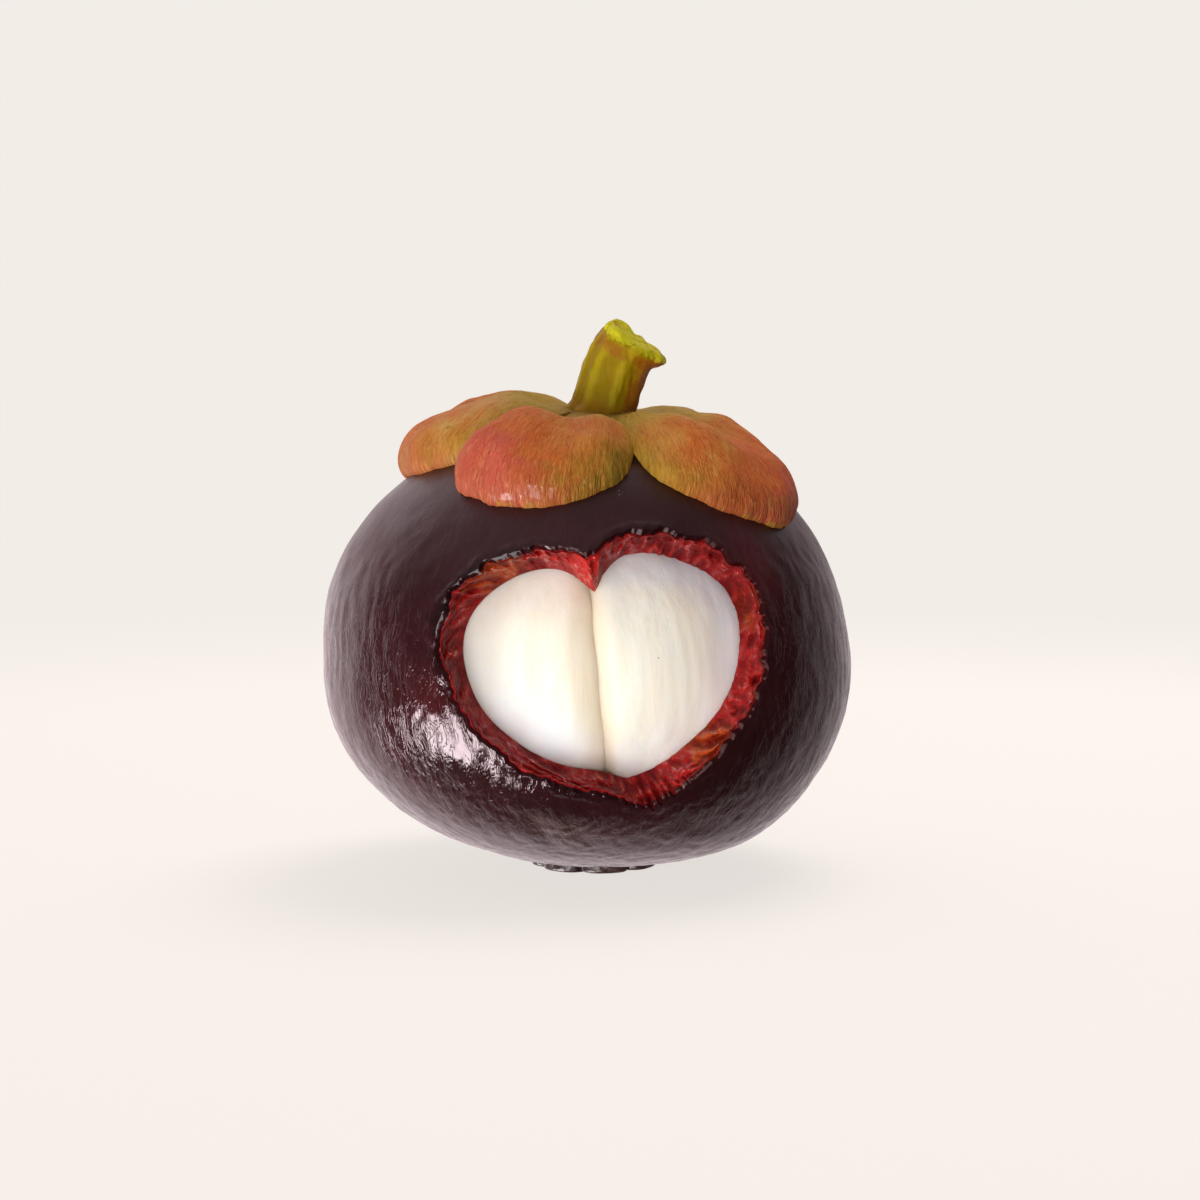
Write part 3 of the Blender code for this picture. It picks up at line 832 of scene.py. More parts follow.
# Painted shade along the valley of the seam between the two front arils, in tan
PAINTED_SEAM_SHADE = 0.65

CREAM_DARK = (0.91, 0.83, 0.69)
CREAM = (0.94, 0.88, 0.77)
FIBRE_TAN = (0.80, 0.69, 0.54)
SPECK_BROWN = (0.30, 0.22, 0.16)
# A slight stain and mostly painted shade, grey near the rind
RIM_STAIN_AND_SHADE_GREY = (0.78, 0.81, 0.81)
# Painted light for the flesh at the lower left
PAINTED_LIGHT_CREAM = (1.0, 0.98, 0.95)
PAINTED_SEAM_SHADE_TAN = (0.80, 0.62, 0.40)


def aril_look():
    look = Look("aril_flesh")
    fibres = look.noise(0.7 * MM, look.stretched(look.place, (1.0, 1.0, 0.12)), 3.0, 0.55, 0.4)
    broad = look.noise(3.2 * MM, look.stretched(look.place, (1.0, 1.0, 0.25)))
    specks = look.noise(1.1 * MM, None, 1.0)
    cream = look.mix(look.between(broad, 0.3, 0.7), CREAM_DARK, CREAM)
    cream = look.tint(cream, fibres, 0.50, 0.70, FIBRE_TAN, 0.22)
    cream = look.tint(cream, specks, 0.80, 0.83, SPECK_BROWN, 0.5)
    # A slight stain and mostly painted shade: grey near the rind at the upper right, away from the light
    cream = look.mix(look.mark("rim_stain_and_shade"), cream, RIM_STAIN_AND_SHADE_GREY)
    # Painted light: the flesh is whiter near the rind at the lower left, where the light comes from
    cream = look.mix(look.mark("pale"), cream, PAINTED_LIGHT_CREAM)
    # Painted shade: tan along the valley of the seam between the two arils
    cream = look.mix(look.mark("seam"), cream, PAINTED_SEAM_SHADE_TAN)
    look.set(
        Base_Color=cream,
        Roughness=0.5,
        Specular_IOR_Level=0.25,
        Normal=look.bump(fibres, 0.45, 0.10 * MM),
        Subsurface_Weight=0.6,
        Subsurface_Scale=5.0 * MM,
        Subsurface_Radius=(1.0, 0.8, 0.6),
    )
    return look.material


def aril_reach(headings, index, middle, centre):
    """How far a wedge reaches from its centre along headings: to its skin, its seams and the core."""
    radius = FLESH_RADIUS + (PROUD if index == 0 else 0.0)
    near = np.zeros(headings.shape[:-1])
    far = np.full_like(near, 2 * FLESH_RADIUS)
    for _ in range(SEARCH_STEPS):
        half = (near + far) / 2
        point = centre + headings * half[..., None]
        inside = np.linalg.norm(point, axis=-1) < egg_radius(unit(point), radius, FLESH_TOP, FLESH_BOTTOM)
        near = np.where(inside, half, near)
        far = np.where(inside, far, half)
    lengths = [near]
    for side in (1, -1):
        to_seam = headings @ level_direction(middle + side * (ARIL_SPREAD + math.pi / 2))
        at_front = index in SEEN_ARILS and (side < 0) == (index == 0)
        limit = SEAM_DISTANCE + (SEAM_OVERLAP if at_front else -SEAM_GAP)
        lengths.append(limit / np.maximum(to_seam, LEAST_HEADING))
    inward = -(headings @ level_direction(middle))
    lengths.append((ARIL_MIDDLE_RADIUS - CORE_RADIUS) / np.maximum(inward, LEAST_HEADING))
    return soft_least(lengths, ARIL_SHARPNESS)


def build_aril(index, material):
    """One wedge of flesh. The two behind the window meet at the seam, the right one slightly proud."""
    middle = FRONT_SEAM + ARIL_SPREAD * (2 * index + 1)
    seen = index in SEEN_ARILS
    rows, columns = SEEN_ARIL_GRID if seen else HIDDEN_ARIL_GRID
    centre = level_direction(middle) * ARIL_MIDDLE_RADIUS + UP * (FLESH_TOP - FLESH_BOTTOM) / 2
    polar, around = np.broadcast_arrays(np.pi * even_steps(rows, 1), middle + full_turn(columns))
    headings = [np.sin(polar) * np.cos(around), np.sin(polar) * np.sin(around), np.cos(polar)]
    headings = np.stack(headings, axis=-1)
    points = centre + headings * aril_reach(headings, index, middle, centre)[..., None]
    beside = np.arctan2(points[..., 1], points[..., 0]) - FRONT_SEAM
    width, deep = SEAM_FLANKS[0 if index else 1]
    seam = bell(beside, 0.0, width)
    if seen:
        relief = layered_noise(points, ARIL_RELIEF, index) - deep * seam
        points = points + headings * relief[..., None]
    poles = np.array([UP, -UP])
    ends = centre + poles * aril_reach(poles, index, middle, centre)[:, None]
    top, bottom = BODY_CENTRE + turned(ends, FLESH_LEAN)
    points = BODY_CENTRE + turned(points, FLESH_LEAN)
    turn, outside = round_window(unit(points - BODY_CENTRE))
    marks = {
        # Painted shade along the seam
        "seam": PAINTED_SEAM_SHADE * seam,
        # A slight stain and mostly painted shade near the rind at the upper right
        "rim_stain_and_shade": ramp_between(*RIM_SHADE_BAND, outside) * near_places(turn, RIM_SHADE_PLACES),
        # Painted light near the rind at the lower left
        "pale": ramp_between(*PAINTED_LIGHT_BAND, outside) * near_places(turn, PAINTED_LIGHT_PLACES),
    }
    name = f"aril_{index + 1}"
    make_piece(name + "_flesh", points, material, name, top, bottom, marks)


# Calyx

# Rows and columns
SEPAL_GRID = (62, 380)
SEPAL_SHARPNESS = 9.0
SEPAL_OVERLAP = 1.0 * MM
SEPAL_FOOT = 1.2 * MM
SEPAL_RIM_ROUNDNESS = 2.6
SEPAL_SOFT_EDGE = 1.2 * MM
SEPAL_SINK = 0.05 * MM
# The last row turns in under the sepal: the share of its reach there, and how deep in the skin it is
TUCK_SHARE = 0.9
TUCK_DEPTH = 0.4 * MM
# The sepals grow together by the stem: how high and how far out
VALLEY_HEIGHT = 1.7 * MM
VALLEY_END = 18.5 * MM
VALLEY_FADE = 0.75
FRINGE = ((0.7 * MM, 0.15 * MM, 0.0), (4.0 * MM, 0.8 * MM, 2.0))
FRINGE_START = (0.45, 0.8)
# Fibres fan out from a point by the stem: how wide the fan counts and how long each step is
FAN_ORIGIN = 2.0 * MM
FAN_WIDTH = 30.0
FAN_STEP = 2.2 * MM
FAN_SEED = 3.7
FAN_RELIEF = (((8.0, 6.0, 1.0), 0.08 * MM, 0.0), ((1.0, 0.8, 1.0), 0.07 * MM, 5.0))
SEPAL_LUMPS = ((3.5 * MM, 0.40 * MM, 1.0), (6.0 * MM, 0.80 * MM, 3.0))
WET_PLACES = ((-106, 35, 9, 8, 1.0),)
WET_RIM = (0.80, 0.93)
# Each sepal's red side, its redness and its tan
SEPAL_LOOKS = {
    "sepal_front": (-0.75, 0.15, (0.52, 0.19, 0.034)),
    "sepal_right": (0.15, 0.25, (0.55, 0.25, 0.050)),
    "sepal_back": (0.0, -0.25, (0.40, 0.25, 0.085)),
    "sepal_left": (-0.20, 0.20, (0.52, 0.30, 0.080)),
}
FIRST_SEPAL_SEED = 1.3

DEEPER = (0.92, 0.72, 0.60)
RUST = (0.52, 0.125, 0.024)
ROSE = (0.52, 0.085, 0.055)
CALYX_GREEN = (0.43, 0.31, 0.045)
# Partly the sepal's own red, partly painted shade at the outer margin
MARGIN_RED_AND_SHADE = (0.28, 0.055, 0.020)
MARGIN_GREEN = (0.38, 0.25, 0.025)
OLIVE = (0.26, 0.155, 0.012)
# Painted shade on the side of a sepal that turns away from the light
OLIVE_PAINTED_SHADE = (0.12, 0.080, 0.012)
RIM_YELLOW = (0.42, 0.25, 0.02)
HAIR_DARK = (0.22, 0.036, 0.012)
HAIR_LIGHT = (0.62, 0.34, 0.10)
SPOT_BROWN = (0.20, 0.05, 0.02)


def sepal_look(name, red_side, redness, tan):
    """Orange to red at the tip and on one side, green by the stem, with fibres that fan to the margin, and
    painted shade.
    """
    look = Look(name)
    fan = look.mark("fan", "Vector")
    strokes = look.noise(0.75, look.stretched(fan, (1.0, 0.9, 1.0)), 2.0, 0.6, 1.6)
    hairs = look.noise(0.45, look.stretched(fan, (1.0, 0.8, 1.0)), 2.0, 0.6, 1.2)
    broad = look.noise(3.2, fan, twist=0.5)
    patches = look.noise(4.0 * MM, None, 3.0, 0.6)
    spots = look.noise(1.2 * MM, None, 2.0, 0.6)
    out = look.mark("out")
    aside = look.mark("aside")
    reach = look.mark("reach")
    uneven = look.sum(look.centred(patches, 1.1), look.centred(strokes, 0.5))

    deeper = tuple(channel * share for channel, share in zip(tan, DEEPER))
    colour = look.mix(look.between(broad, 0.35, 0.65), deeper, tan)
    warm = look.sum(look.times(out, 1.3), look.times(aside, red_side))
    warm = look.sum(look.sum(warm, uneven), redness)
    colour = look.tint(colour, warm, 0.75, 1.25, RUST)
    colour = look.tint(colour, warm, 1.15, 1.75, ROSE)
    green = look.sum(look.times(uneven, 0.8), look.between(out, 0.66, 0.34))
    colour = look.tint(colour, green, 0.45, 1.0, CALYX_GREEN, 0.8)
    margin = look.between(reach, 0.70, 1.0)
    # Partly the sepal's own red and partly painted shade: darker red at the outer margin, where it turns
    # down from the light
    outer = look.times(margin, look.between(out, 0.72, 0.90, 0.0, 0.60))
    inner = look.times(margin, look.between(out, 0.90, 0.72, 0.0, 0.70))
    colour = look.mix(outer, colour, MARGIN_RED_AND_SHADE)
    colour = look.mix(inner, colour, MARGIN_GREEN)
    # The olive is the sepal's own colour; its darkest step is painted shade on the side that turns from the
    # light
    olive_and_shade = look.sum(uneven, look.between(out, 0.4, 0.9, -0.5, 0.1))
    olive_and_shade = look.sum(look.times(aside, -red_side), olive_and_shade)
    colour = look.tint(colour, olive_and_shade, 0.10, 0.55, OLIVE, 0.85)
    colour = look.tint(colour, olive_and_shade, 0.35, 0.90, OLIVE_PAINTED_SHADE, 0.6)
    streaky = look.sum(look.centred(strokes), look.centred(patches))
    rim = look.sum(look.between(reach, 0.95, 1.0), streaky)
    colour = look.tint(colour, rim, 0.95, 1.20, RIM_YELLOW, 0.5)
    colour = look.tint(colour, hairs, 0.50, 0.34, HAIR_DARK, 0.34)
    colour = look.tint(colour, hairs, 0.54, 0.68, HAIR_LIGHT, 0.28)
    colour = look.tint(colour, spots, 0.66, 0.74, SPOT_BROWN, 0.5)
    look.set(
        Base_Color=colour,
        Roughness=0.6,
        Specular_IOR_Level=0.18,
        Specular_Tint=(1.0, 0.80, 0.55, 1.0),
        Normal=look.bump(look.sum(strokes, look.times(hairs, 0.8)), 0.9, 0.28 * MM),
        Coat_Weight=look.times(look.mark("wet"), look.between(strokes, 0.38, 0.52)),
        Coat_Roughness=0.12,
        Subsurface_Weight=0.08,
        Subsurface_Scale=0.6 * MM,
    )
    return look.material


def sepal_axes(sepal):
    """The sepal's directions outwards and sideways in plan."""
    outward = plan_direction(math.radians(sepal.middle))
    return outward, np.array([-outward[1], outward[0]])


def sepal_margin(sepal, heading, seed):
    """How far the sepal reaches from its centre along headings in plan, with its fringed edge."""
    outward, sideways = sepal_axes(sepal)
    centre = outward * SEPAL_MIDDLE
    middle = math.radians(sepal.middle)
    spread = math.radians(sepal.spread)
    lobe_centre = outward * (sepal.tip - sepal.lobe_radius) * MM + sideways * sepal.shift * MM
    offset = centre - lobe_centre
    along = heading @ offset
    lengths = [-along + np.sqrt(along ** 2 + (sepal.lobe_radius * MM) ** 2 - offset @ offset)]
    for side in (1, -1):
        toward = heading @ plan_direction(middle + side * (spread + math.pi / 2))
        to_side = SEPAL_MIDDLE * math.sin(spread) + SEPAL_OVERLAP
        lengths.append(to_side / np.maximum(toward, LEAST_HEADING))
    inward = -(heading @ outward)
    lengths.append((SEPAL_MIDDLE - SEPAL_FOOT) / np.maximum(inward, LEAST_HEADING))
    margin = soft_least(lengths, SEPAL_SHARPNESS)
    rim = centre + heading * margin[:, None]
    rim_out = np.linalg.norm(rim, axis=-1) / (sepal.tip * MM)
    return margin + layered_noise(on_plan(rim), FRINGE, seed) * ramp_between(*FRINGE_START, rim_out)


def sepal_fan(sepal, flat, seed):
    """Where points of the plan are in the fan of fibres: round it, along it, and a number of its own."""
    outward, sideways = sepal_axes(sepal)
    spoke = flat - outward * FAN_ORIGIN
    angle = np.arctan2(spoke @ sideways, spoke @ outward)
    length = np.linalg.norm(spoke, axis=-1) / FAN_STEP
    return np.stack([angle * FAN_WIDTH, length, np.full_like(angle, seed * FAN_SEED)], axis=-1)


def sepal_height(sepal, flat, aside, reach, fan, seed):
    """How high the sepal stands over the skin: a puffed lobe with a crease, folds and soft lumps."""
    distance = np.linalg.norm(flat, axis=-1)
    rising = ramp_between(SEPAL_INNER, sepal.hump * MM, distance)
    base = SEPAL_STEM_HEIGHT + (1 - SEPAL_STEM_HEIGHT) * rising
    fading = np.maximum(0.0, 1 - distance / (sepal.tip * MM))
    crease = SEPAL_CREASE_DEPTH * fading * bell(aside, 0.0, SEPAL_CREASE_WIDTH)
    rim_shape = (1 - reach ** SEPAL_RIM_ROUNDNESS) ** 0.5
    height = sepal.puff * MM * base * (1 - crease) * rim_shape * (1 + sepal.slant * aside / MM)
    valley = VALLEY_HEIGHT * ramp_between(VALLEY_END, VALLEY_FADE * VALLEY_END, distance)
    height = (height ** 3 + valley ** 3) ** (1 / 3)
    body = ramp_between(0.0, SEPAL_SOFT_EDGE, height) * (1.0 - 0.8 * reach ** 8)
    relief = layered_noise(fan, FAN_RELIEF, seed) + layered_noise(on_plan(flat), SEPAL_LUMPS, seed)
    return np.maximum(height + body * relief, 0.0)


def build_sepal(sepal, material, seed):
    """One sepal, as a grid that fans out from its centre to its margin and turns in under it."""
    outward, sideways = sepal_axes(sepal)
    centre = outward * SEPAL_MIDDLE
    rows, columns = SEPAL_GRID
    turn = full_turn(columns)
    heading = np.stack([np.cos(turn), np.sin(turn)], axis=-1)
    margin = sepal_margin(sepal, heading, seed)
    reach = np.sin(np.pi / 2 * even_steps(rows))
    flat = centre + heading * (margin * reach)[..., None]
    aside = flat @ sideways
    fan = sepal_fan(sepal, flat, seed)
    height = sepal_height(sepal, flat, aside, reach, fan, seed)
    points = skin_points(shoulder_directions(flat), height - SEPAL_SINK)
    under = centre + heading * (margin * TUCK_SHARE)[..., None]
    under = skin_points(shoulder_directions(under), -TUCK_DEPTH)
    wet = places_on_skin(unit(points - BODY_CENTRE), WET_PLACES) * ramp_between(*WET_RIM, reach)
    marks = {
        "out": np.linalg.norm(flat, axis=-1) / (sepal.tip * MM),
        "aside": aside / (sepal.lobe_radius * MM),
        "reach": reach * np.ones(columns),
        "fan": fan,
        "wet": wet,
    }
    marks = {mark: np.concatenate([values, values[-1:]]) for mark, values in marks.items()}
    top = points[0].mean(axis=0)
    points = np.concatenate([points, under[None]])
    make_piece(sepal.name + "_leaf", points, material, sepal.name, top=top, marks=marks)


# Stem

STEM_FOOT = np.array([0.7, 0.0, 52.5]) * MM
STEM_BEND = np.array([1.9, 0.0, 58.6]) * MM
STEM_TOP = np.array([4.3, 0.0, 62.0]) * MM
STEM_RADIUS = 3.7 * MM
STEM_COLUMNS = 220
STEM_ROWS = 110
STEM_CAP_ROWS = 26
STEM_RIBS = 9
STEM_RIB_DEPTH = 0.03
STEM_RIB_SWAY = 0.8
STEM_RIB_FADING = 1.6
# From here on are shares of the stem's length from its foot, and of its radius
STEM_FLARE = 0.24
STEM_FLARE_SPAN = (0.66, 0.95)
STEM_ROUNDING = 0.30
STEM_ROUNDING_START = 0.85
STEM_SPREAD = 0.22
STEM_SPREAD_SPAN = (0.14, 0.02)
STEM_SUNK_SPAN = (0.06, 0.0)
STEM_BUMPS = ((1.6 * MM, 1.0 * MM, 2.0),)
STEM_BUMPS_SPAN = (0.7, 1.0)
STEM_GRAIN = ((np.array([0.7, 0.7, 2.4]) * MM, 0.16 * MM, 4.0),)
STEM_CROWN = 0.7 * MM
STEM_CROWN_BUMPS = ((1.3 * MM, 0.5 * MM, 9.0),)
STEM_RIM_LIFT = 1.0 * MM

BARK_DEEP = (0.27, 0.170, 0.002)
BARK = (0.37, 0.265, 0.007)
FOOT_BROWN = (0.34, 0.15, 0.010)
SIDE_BROWN = (0.28, 0.070, 0.008)
BAND_BROWN = (0.26, 0.080, 0.005)
END_YELLOW = (0.52, 0.48, 0.014)


def stem_look():
    """Olive ribs, browner at the foot, on the right and in a band under the yellow end."""
    look = Look("stem_bark")
    up = look.mark("up")
    grain = look.noise(0.45 * MM, look.stretched(look.place, (1.0, 1.0, 0.35)), 3.0, 0.6)
    blotch = look.noise(1.8 * MM, None, 3.0, 0.6)
    shaken = look.sum(look.centred(blotch), look.centred(grain))
    colour = look.mix(look.between(look.sum(look.mark("rib"), shaken), 0.10, 1.00), BARK_DEEP, BARK)
    foot = look.sum(look.between(up, 0.35, 0.05), shaken)
    colour = look.tint(colour, foot, 0.35, 0.95, FOOT_BROWN, 0.6)
    side = look.sum(look.mark("right"), shaken)
    colour = look.tint(colour, side, 0.30, 0.70, SIDE_BROWN, 0.8)
    band = look.times(look.between(up, 0.60, 0.74), look.between(up, 0.90, 0.80))
    band = look.sum(band, look.times(shaken, 2.0))
    colour = look.tint(colour, band, 0.50, 1.20, BAND_BROWN, 0.75)
    end = look.sum(look.between(up, 0.80, 0.95), look.times(shaken, 1.8))
    colour = look.tint(colour, end, 0.40, 1.00, END_YELLOW)
    look.set(
        Base_Color=colour,
        Roughness=look.between(grain, 0.3, 0.7, 0.45, 0.60),
        Specular_IOR_Level=0.12,
        Specular_Tint=(1.0, 0.90, 0.50, 1.0),
        Normal=look.bump(grain, 0.6, 0.15 * MM),
        Subsurface_Weight=0.08,
        Subsurface_Scale=0.8 * MM,
    )
    return look.material


def stem_spine(along):
    """The bent line up the stem's middle, and its direction."""
    lower = STEM_FOOT + (STEM_BEND - STEM_FOOT) * along
    upper = STEM_BEND + (STEM_TOP - STEM_BEND) * along
    tangent = (STEM_BEND - STEM_FOOT) * (1 - along) + (STEM_TOP - STEM_BEND) * along
    return lower + (upper - lower) * along, unit(tangent)


def build_stem():
    """The bent, ribbed stalk with a knobbly, flared end."""
    side_along = 1.0 - np.arange(STEM_ROWS) / (STEM_ROWS - 1)
    along = np.concatenate([np.ones(STEM_CAP_ROWS), side_along])[:, None]
    fill = np.concatenate([even_steps(STEM_CAP_ROWS, 1), np.ones((STEM_ROWS, 1))])
    turn = full_turn(STEM_COLUMNS)[None, :]
    spine, tangent = stem_spine(along[..., None])
    back = np.array([0.0, 1.0, 0.0])
    around = np.cross(back, tangent) * np.cos(turn)[..., None] + back * np.sin(turn)[..., None]

    ribs = np.cos(STEM_RIBS * turn + STEM_RIB_SWAY * np.sin(2 * turn))
    ribs = ribs * np.minimum(1.0, STEM_RIB_FADING - along)
    shoulder = np.clip((along - STEM_ROUNDING_START) / (1.0 - STEM_ROUNDING_START), 0.0, 1.0)
    rounding = 1 - STEM_ROUNDING * (1 - np.sqrt(1 - shoulder ** 2))
    flare = STEM_FLARE * ramp_between(*STEM_FLARE_SPAN, along)
    knobs = 1 + flare * (0.45 + 0.75 * np.cos(turn) + 0.25 * np.cos(3 * turn + 0.4))
    radius = STEM_RADIUS * (1 + STEM_RIB_DEPTH * ribs) * knobs * rounding * fill
    radius = radius * (1 + STEM_SPREAD * ramp_between(*STEM_SPREAD_SPAN, along))
    plain = spine + around * radius[..., None]

    bumps = layered_noise(plain, STEM_BUMPS) * (0.15 + 0.55 * ramp_between(*STEM_BUMPS_SPAN, along))
    bumps = bumps + layered_noise(plain, STEM_GRAIN)
    points = plain + around * (bumps * fill)[..., None]
    at_end = along == 1.0
    crown = STEM_CROWN * (1 - fill ** 2) * at_end
    crown = crown + layered_noise(plain, STEM_CROWN_BUMPS) * (1 - fill ** 6) * at_end
    lift = STEM_RIM_LIFT * (0.78 - 0.22 * np.cos(turn)) * np.cos(turn) ** 2 * fill ** 2 * along ** 4
    points = points + tangent * (crown + lift)[..., None]
    foot = skin_points(unit(points - BODY_CENTRE))
    sunk = ramp_between(*STEM_SUNK_SPAN, along)[..., None]
    points = points * (1 - sunk) + foot * sunk

    marks = {
        "up": along + 0.1 * (1 - fill),
        "rib": (0.5 + 0.5 * ribs) ** 2,
        "right": ramp_between(0.3, 1.0, np.cos(turn)),
    }
    marks = {mark: np.broadcast_to(values, points.shape[:2]) for mark, values in marks.items()}
    top = points[0].mean(axis=0)
    make_piece("stem_stalk", points, stem_look(), "stem", top=top, marks=marks)


# Stigma

STIGMA_RADIUS = 7.5 * MM
STIGMA_THICKNESS = 1.0 * MM
STIGMA_COLUMNS = 280
STIGMA_ROWS = 40
STIGMA_BASE_ROWS = 24
STIGMA_NOTCH = 0.17
# The share of the rows that the flat top takes, and where the side starts to go down
STIGMA_FLAT = 0.62
STIGMA_SIDE = 0.66
STIGMA_ROUGHNESS = ((1.0 * MM, 0.25 * MM, 3.0),)
STIGMA_GROOVE = 0.25 * MM
STIGMA_GROOVE_WIDTH = 0.25

WOOD_DARK = (0.020, 0.007, 0.008)
WOOD = (0.055, 0.020, 0.020)
WOOD_GRAIN = (0.12, 0.06, 0.05)


def stigma_look():
    look = Look("stigma_wood")
    grain = look.noise(0.5 * MM, None, 3.0, 0.6)
    colour = look.mix(look.between(look.noise(2.5 * MM), 0.35, 0.65), WOOD_DARK, WOOD)
    colour = look.tint(colour, grain, 0.55, 0.70, WOOD_GRAIN, 0.5)
    look.set(
        Base_Color=colour,
        Roughness=look.between(grain, 0.3, 0.7, 0.25, 0.5),
        Normal=look.bump(grain, 0.6, 0.15 * MM),
        Coat_Weight=0.3,
        Coat_Roughness=0.15,
    )
    return look.material


def build_stigma():
    """The flat lobed rosette under the fruit, one lobe for each aril."""
    part = even_steps(STIGMA_ROWS)
    turn = full_turn(STIGMA_COLUMNS)[None, :]
    lobes = np.abs(np.sin(ARIL_COUNT * turn / 2))
    edge = STIGMA_RADIUS * (1 - STIGMA_NOTCH * (1 - lobes) ** 2)
    height = STIGMA_THICKNESS * (1 - ramp_between(STIGMA_SIDE, 1.0, part)) * np.ones_like(turn)
    radius = edge * np.sin(np.pi / 2 * np.minimum(part / STIGMA_FLAT, 1.0))
    radius = radius * (1 - 0.05 * ramp_between(0.85, 1.0, part) ** 2)
    around = np.stack([np.cos(turn), np.sin(turn), 0.0 * turn], axis=-1)
    points = around * radius[..., None] + UP * height[..., None]
    rough = layered_noise(points, STIGMA_ROUGHNESS) * np.sin(np.pi * np.clip((part - 0.3) / 0.7, 0, 1))
    points = points + around * rough[..., None]
    shrink = 1.0 - even_steps(STIGMA_BASE_ROWS, 1)
    groove = STIGMA_GROOVE * bell(lobes, 0.0, STIGMA_GROOVE_WIDTH) * np.sin(np.pi * shrink)
    base = points[-1] * (1.0 - UP) * shrink[..., None] + UP * groove[..., None]
    points = np.concatenate([points, base])
    top = UP * STIGMA_THICKNESS
    make_piece("stigma_rosette", points, stigma_look(), "stigma", top=top, bottom=0.0 * UP)


# Stage: floor, backdrop, light and camera

PALE = (0.888, 0.847, 0.799)
FLOOR_RADIUS = 2.6
BACKDROP_RADIUS = 2.5
FLOOR_DROP = 0.02 * MM
# How far from the fruit the floor no longer takes its shadow
FLOOR_EVEN = 0.30

# Brightness of the surroundings: before, behind, above, at the left and at the right of the fruit
FRONT_LEVEL = 0.04
BACK_LEVEL = 1.25
TOP_LEVEL = 0.50
LEFT_SHARE = 1.25
RIGHT_SHARE = 0.34
SURROUNDINGS = (1.0, 0.85, 0.88, 1.0)

# Lamps: direction from the fruit, distance and size in metres, watts, colour, and whether a lamp lights
# surfaces and whether it shows in reflections
WHITE = (1.0, 1.0, 1.0)
LAMPS = {
    "shine": ((-0.79, -0.39, -0.57), 0.5, 0.25, 3.8, WHITE, False, True),
    "left": ((-0.88, -0.36, -0.30), 0.5, 0.45, 2.6, WHITE, True, False),
    "front": ((-0.20, -0.95, -0.22), 0.9, 0.60, 7.2, WHITE, True, True),
    "sparkle": ((0.0, -0.98, 0.18), 0.9, 0.15, 1.1, WHITE, True, True),
    "top": ((0.25, 0.40, 0.87), 0.6, 0.36, 2.6, (1.0, 0.90, 0.87), True, False),
}

# Camera: nearly half a metre from the fruit and a little above it
CAMERA_RISE = math.radians(6.0)
CAMERA_DISTANCE = 0.450
PICTURE_WIDTH = 1200 * 0.1176 * MM
PICTURE_RIGHT = 1.47 * MM
PICTURE_UP = 7.06 * MM
SENSOR = 36.0
NEAREST = 0.01
FARTHEST = 20.0


def pale_look(name, glow_near, own):
    """A pale surface that partly glows, less so near the fruit, where it takes a soft shadow."""
    look = Look(name)
    distance = look.tree.nodes.new("ShaderNodeVectorMath")
    distance.operation = "LENGTH"
    look.put(distance.inputs[0], look.place)
    far = look.between(distance.outputs["Value"], 0.5 * FLOOR_EVEN, FLOOR_EVEN)
    look.set(
        Base_Color=look.mix(far, tuple(channel * own for channel in PALE), (0.0, 0.0, 0.0)),
        Roughness=0.9,
        Specular_IOR_Level=0.0,
        Emission_Color=look.mix(far, tuple(channel * glow_near for channel in PALE), PALE),
        Emission_Strength=1.0,
    )
    return look.material


def build_stage():
    """A pale floor and backdrop that only the camera sees."""
    bpy.ops.mesh.primitive_circle_add(
        vertices=96, radius=FLOOR_RADIUS, fill_type="NGON", location=(0.0, 0.0, -FLOOR_DROP),
    )
    floor = bpy.context.object
    floor.name = "floor"
    floor.data.materials.append(pale_look("floor_pale", 0.83, 0.25))
    bpy.ops.mesh.primitive_uv_sphere_add(segments=48, ring_count=24, radius=BACKDROP_RADIUS)
    backdrop = bpy.context.object
    backdrop.name = "backdrop"
    backdrop.data.materials.append(pale_look("backdrop_pale", 1.0, 0.0))
    for thing in (floor, backdrop):
        thing.visible_diffuse = False
        thing.visible_glossy = False
        thing.visible_shadow = False
        thing.visible_transmission = False


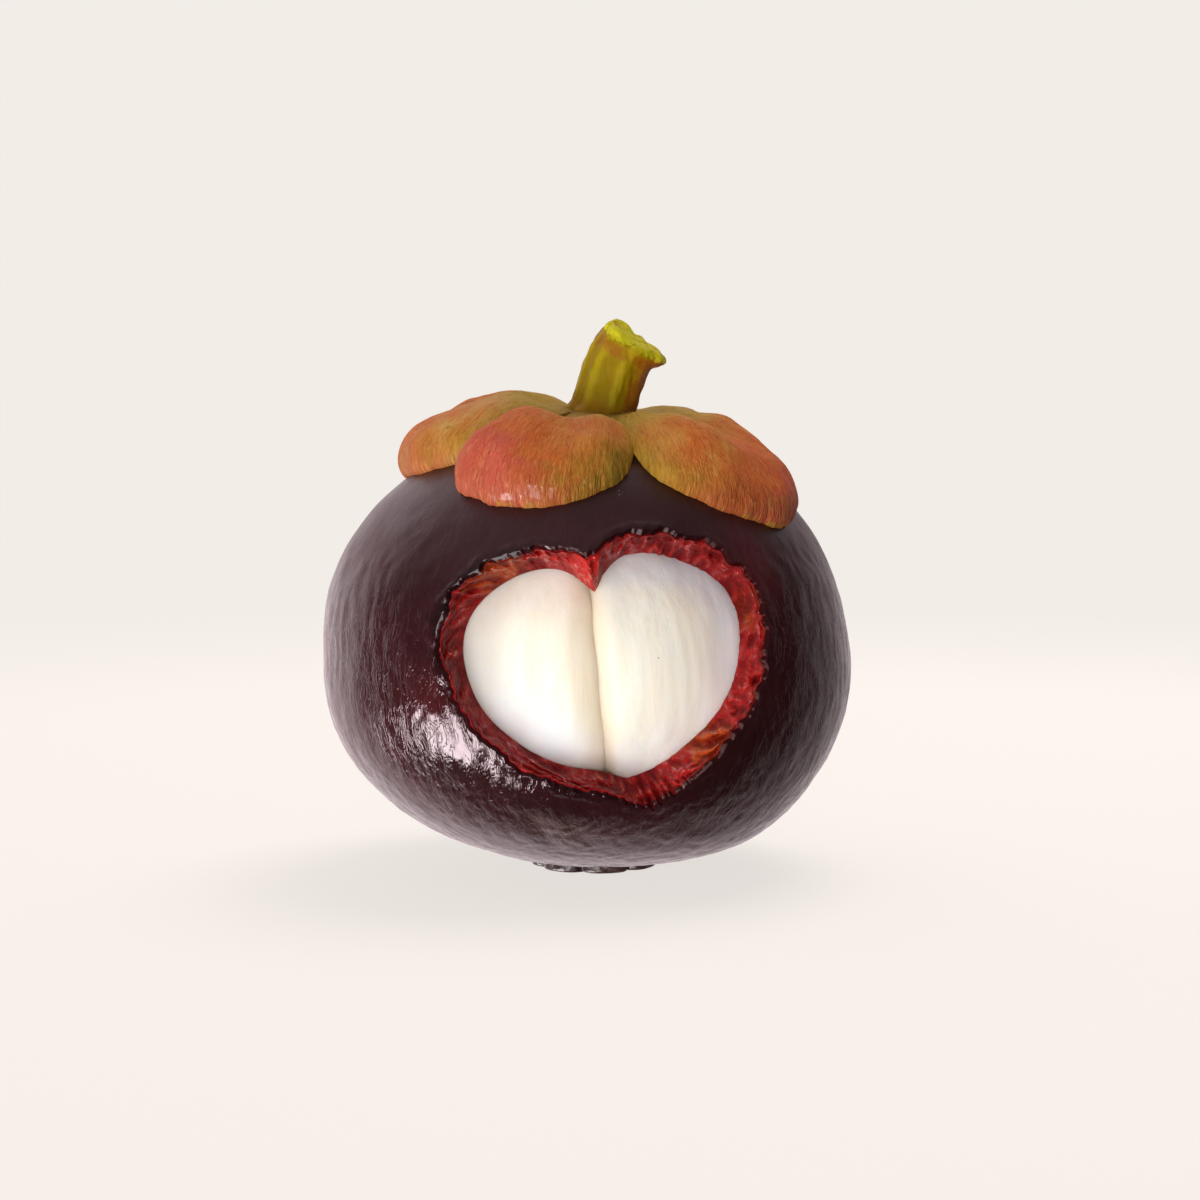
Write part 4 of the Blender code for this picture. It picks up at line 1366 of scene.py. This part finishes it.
def build_world():
    """Soft light: bright behind, most of all at the left, grey above and dark in front of the fruit."""
    world = bpy.data.worlds.new("studio")
    bpy.context.scene.world = world
    world.use_nodes = True
    tree = world.node_tree
    shader = tree.nodes["Background"]
    place = tree.nodes.new("ShaderNodeTexCoord")
    parts = tree.nodes.new("ShaderNodeSeparateXYZ")
    tree.links.new(place.outputs["Generated"], parts.inputs[0])

    def level(axis, low, high, start, end):
        node = tree.nodes.new("ShaderNodeMapRange")
        node.interpolation_type = "SMOOTHSTEP"
        tree.links.new(parts.outputs[axis], node.inputs["Value"])
        node.inputs["From Min"].default_value = low
        node.inputs["From Max"].default_value = high
        node.inputs["To Min"].default_value = start
        node.inputs["To Max"].default_value = end
        return node.outputs["Result"]

    def joined(kind, first, second):
        node = tree.nodes.new("ShaderNodeMath")
        node.operation = kind
        tree.links.new(first, node.inputs[0])
        tree.links.new(second, node.inputs[1])
        return node.outputs["Value"]

    behind = level("Y", 0.12, 0.72, FRONT_LEVEL, BACK_LEVEL)
    above = level("Z", 0.3, 1.0, FRONT_LEVEL, TOP_LEVEL)
    from_left = level("X", -0.9, 0.9, LEFT_SHARE, RIGHT_SHARE)
    brightness = joined("MULTIPLY", joined("MAXIMUM", behind, above), from_left)
    tree.links.new(brightness, shader.inputs["Strength"])
    shader.inputs["Color"].default_value = SURROUNDINGS


def add_softbox(name, direction, distance, size, power, colour, lights, reflects):
    """A square area lamp that faces the middle of the fruit from a direction."""
    data = bpy.data.lights.new(name, "AREA")
    data.size = size
    data.energy = power
    data.color = colour
    lamp = bpy.data.objects.new(name, data)
    bpy.context.scene.collection.objects.link(lamp)
    away = Vector(direction).normalized()
    lamp.location = Vector(BODY_CENTRE) + away * distance
    lamp.rotation_euler = (-away).to_track_quat("-Z", "Y").to_euler()
    lamp.visible_camera = False
    lamp.visible_diffuse = lights
    lamp.visible_glossy = reflects


def build_camera():
    data = bpy.data.cameras.new("camera")
    data.sensor_width = SENSOR
    data.lens = SENSOR * CAMERA_DISTANCE / PICTURE_WIDTH
    data.clip_start = NEAREST
    data.clip_end = FARTHEST
    camera = bpy.data.objects.new("camera", data)
    bpy.context.scene.collection.objects.link(camera)
    forward = Vector((0.0, math.cos(CAMERA_RISE), -math.sin(CAMERA_RISE)))
    up = Vector((0.0, math.sin(CAMERA_RISE), math.cos(CAMERA_RISE)))
    target = Vector(BODY_CENTRE) + Vector((1.0, 0.0, 0.0)) * PICTURE_RIGHT + up * PICTURE_UP
    camera.location = target - forward * CAMERA_DISTANCE
    camera.rotation_euler = forward.to_track_quat("-Z", "Y").to_euler()
    bpy.context.scene.camera = camera


def main():
    bpy.context.scene.view_settings.view_transform = "Standard"
    build_camera()
    skin = skin_look()
    build_skin(skin)
    build_rind_cut(skin)
    flesh = aril_look()
    for index in range(ARIL_COUNT):
        build_aril(index, flesh)
    for number, sepal in enumerate(SEPALS):
        material = sepal_look(sepal.name + "_skin", *SEPAL_LOOKS[sepal.name])
        build_sepal(sepal, material, number + FIRST_SEPAL_SEED)
    build_stem()
    build_stigma()
    build_stage()
    build_world()
    for name, settings in LAMPS.items():
        add_softbox(name, *settings)


main()
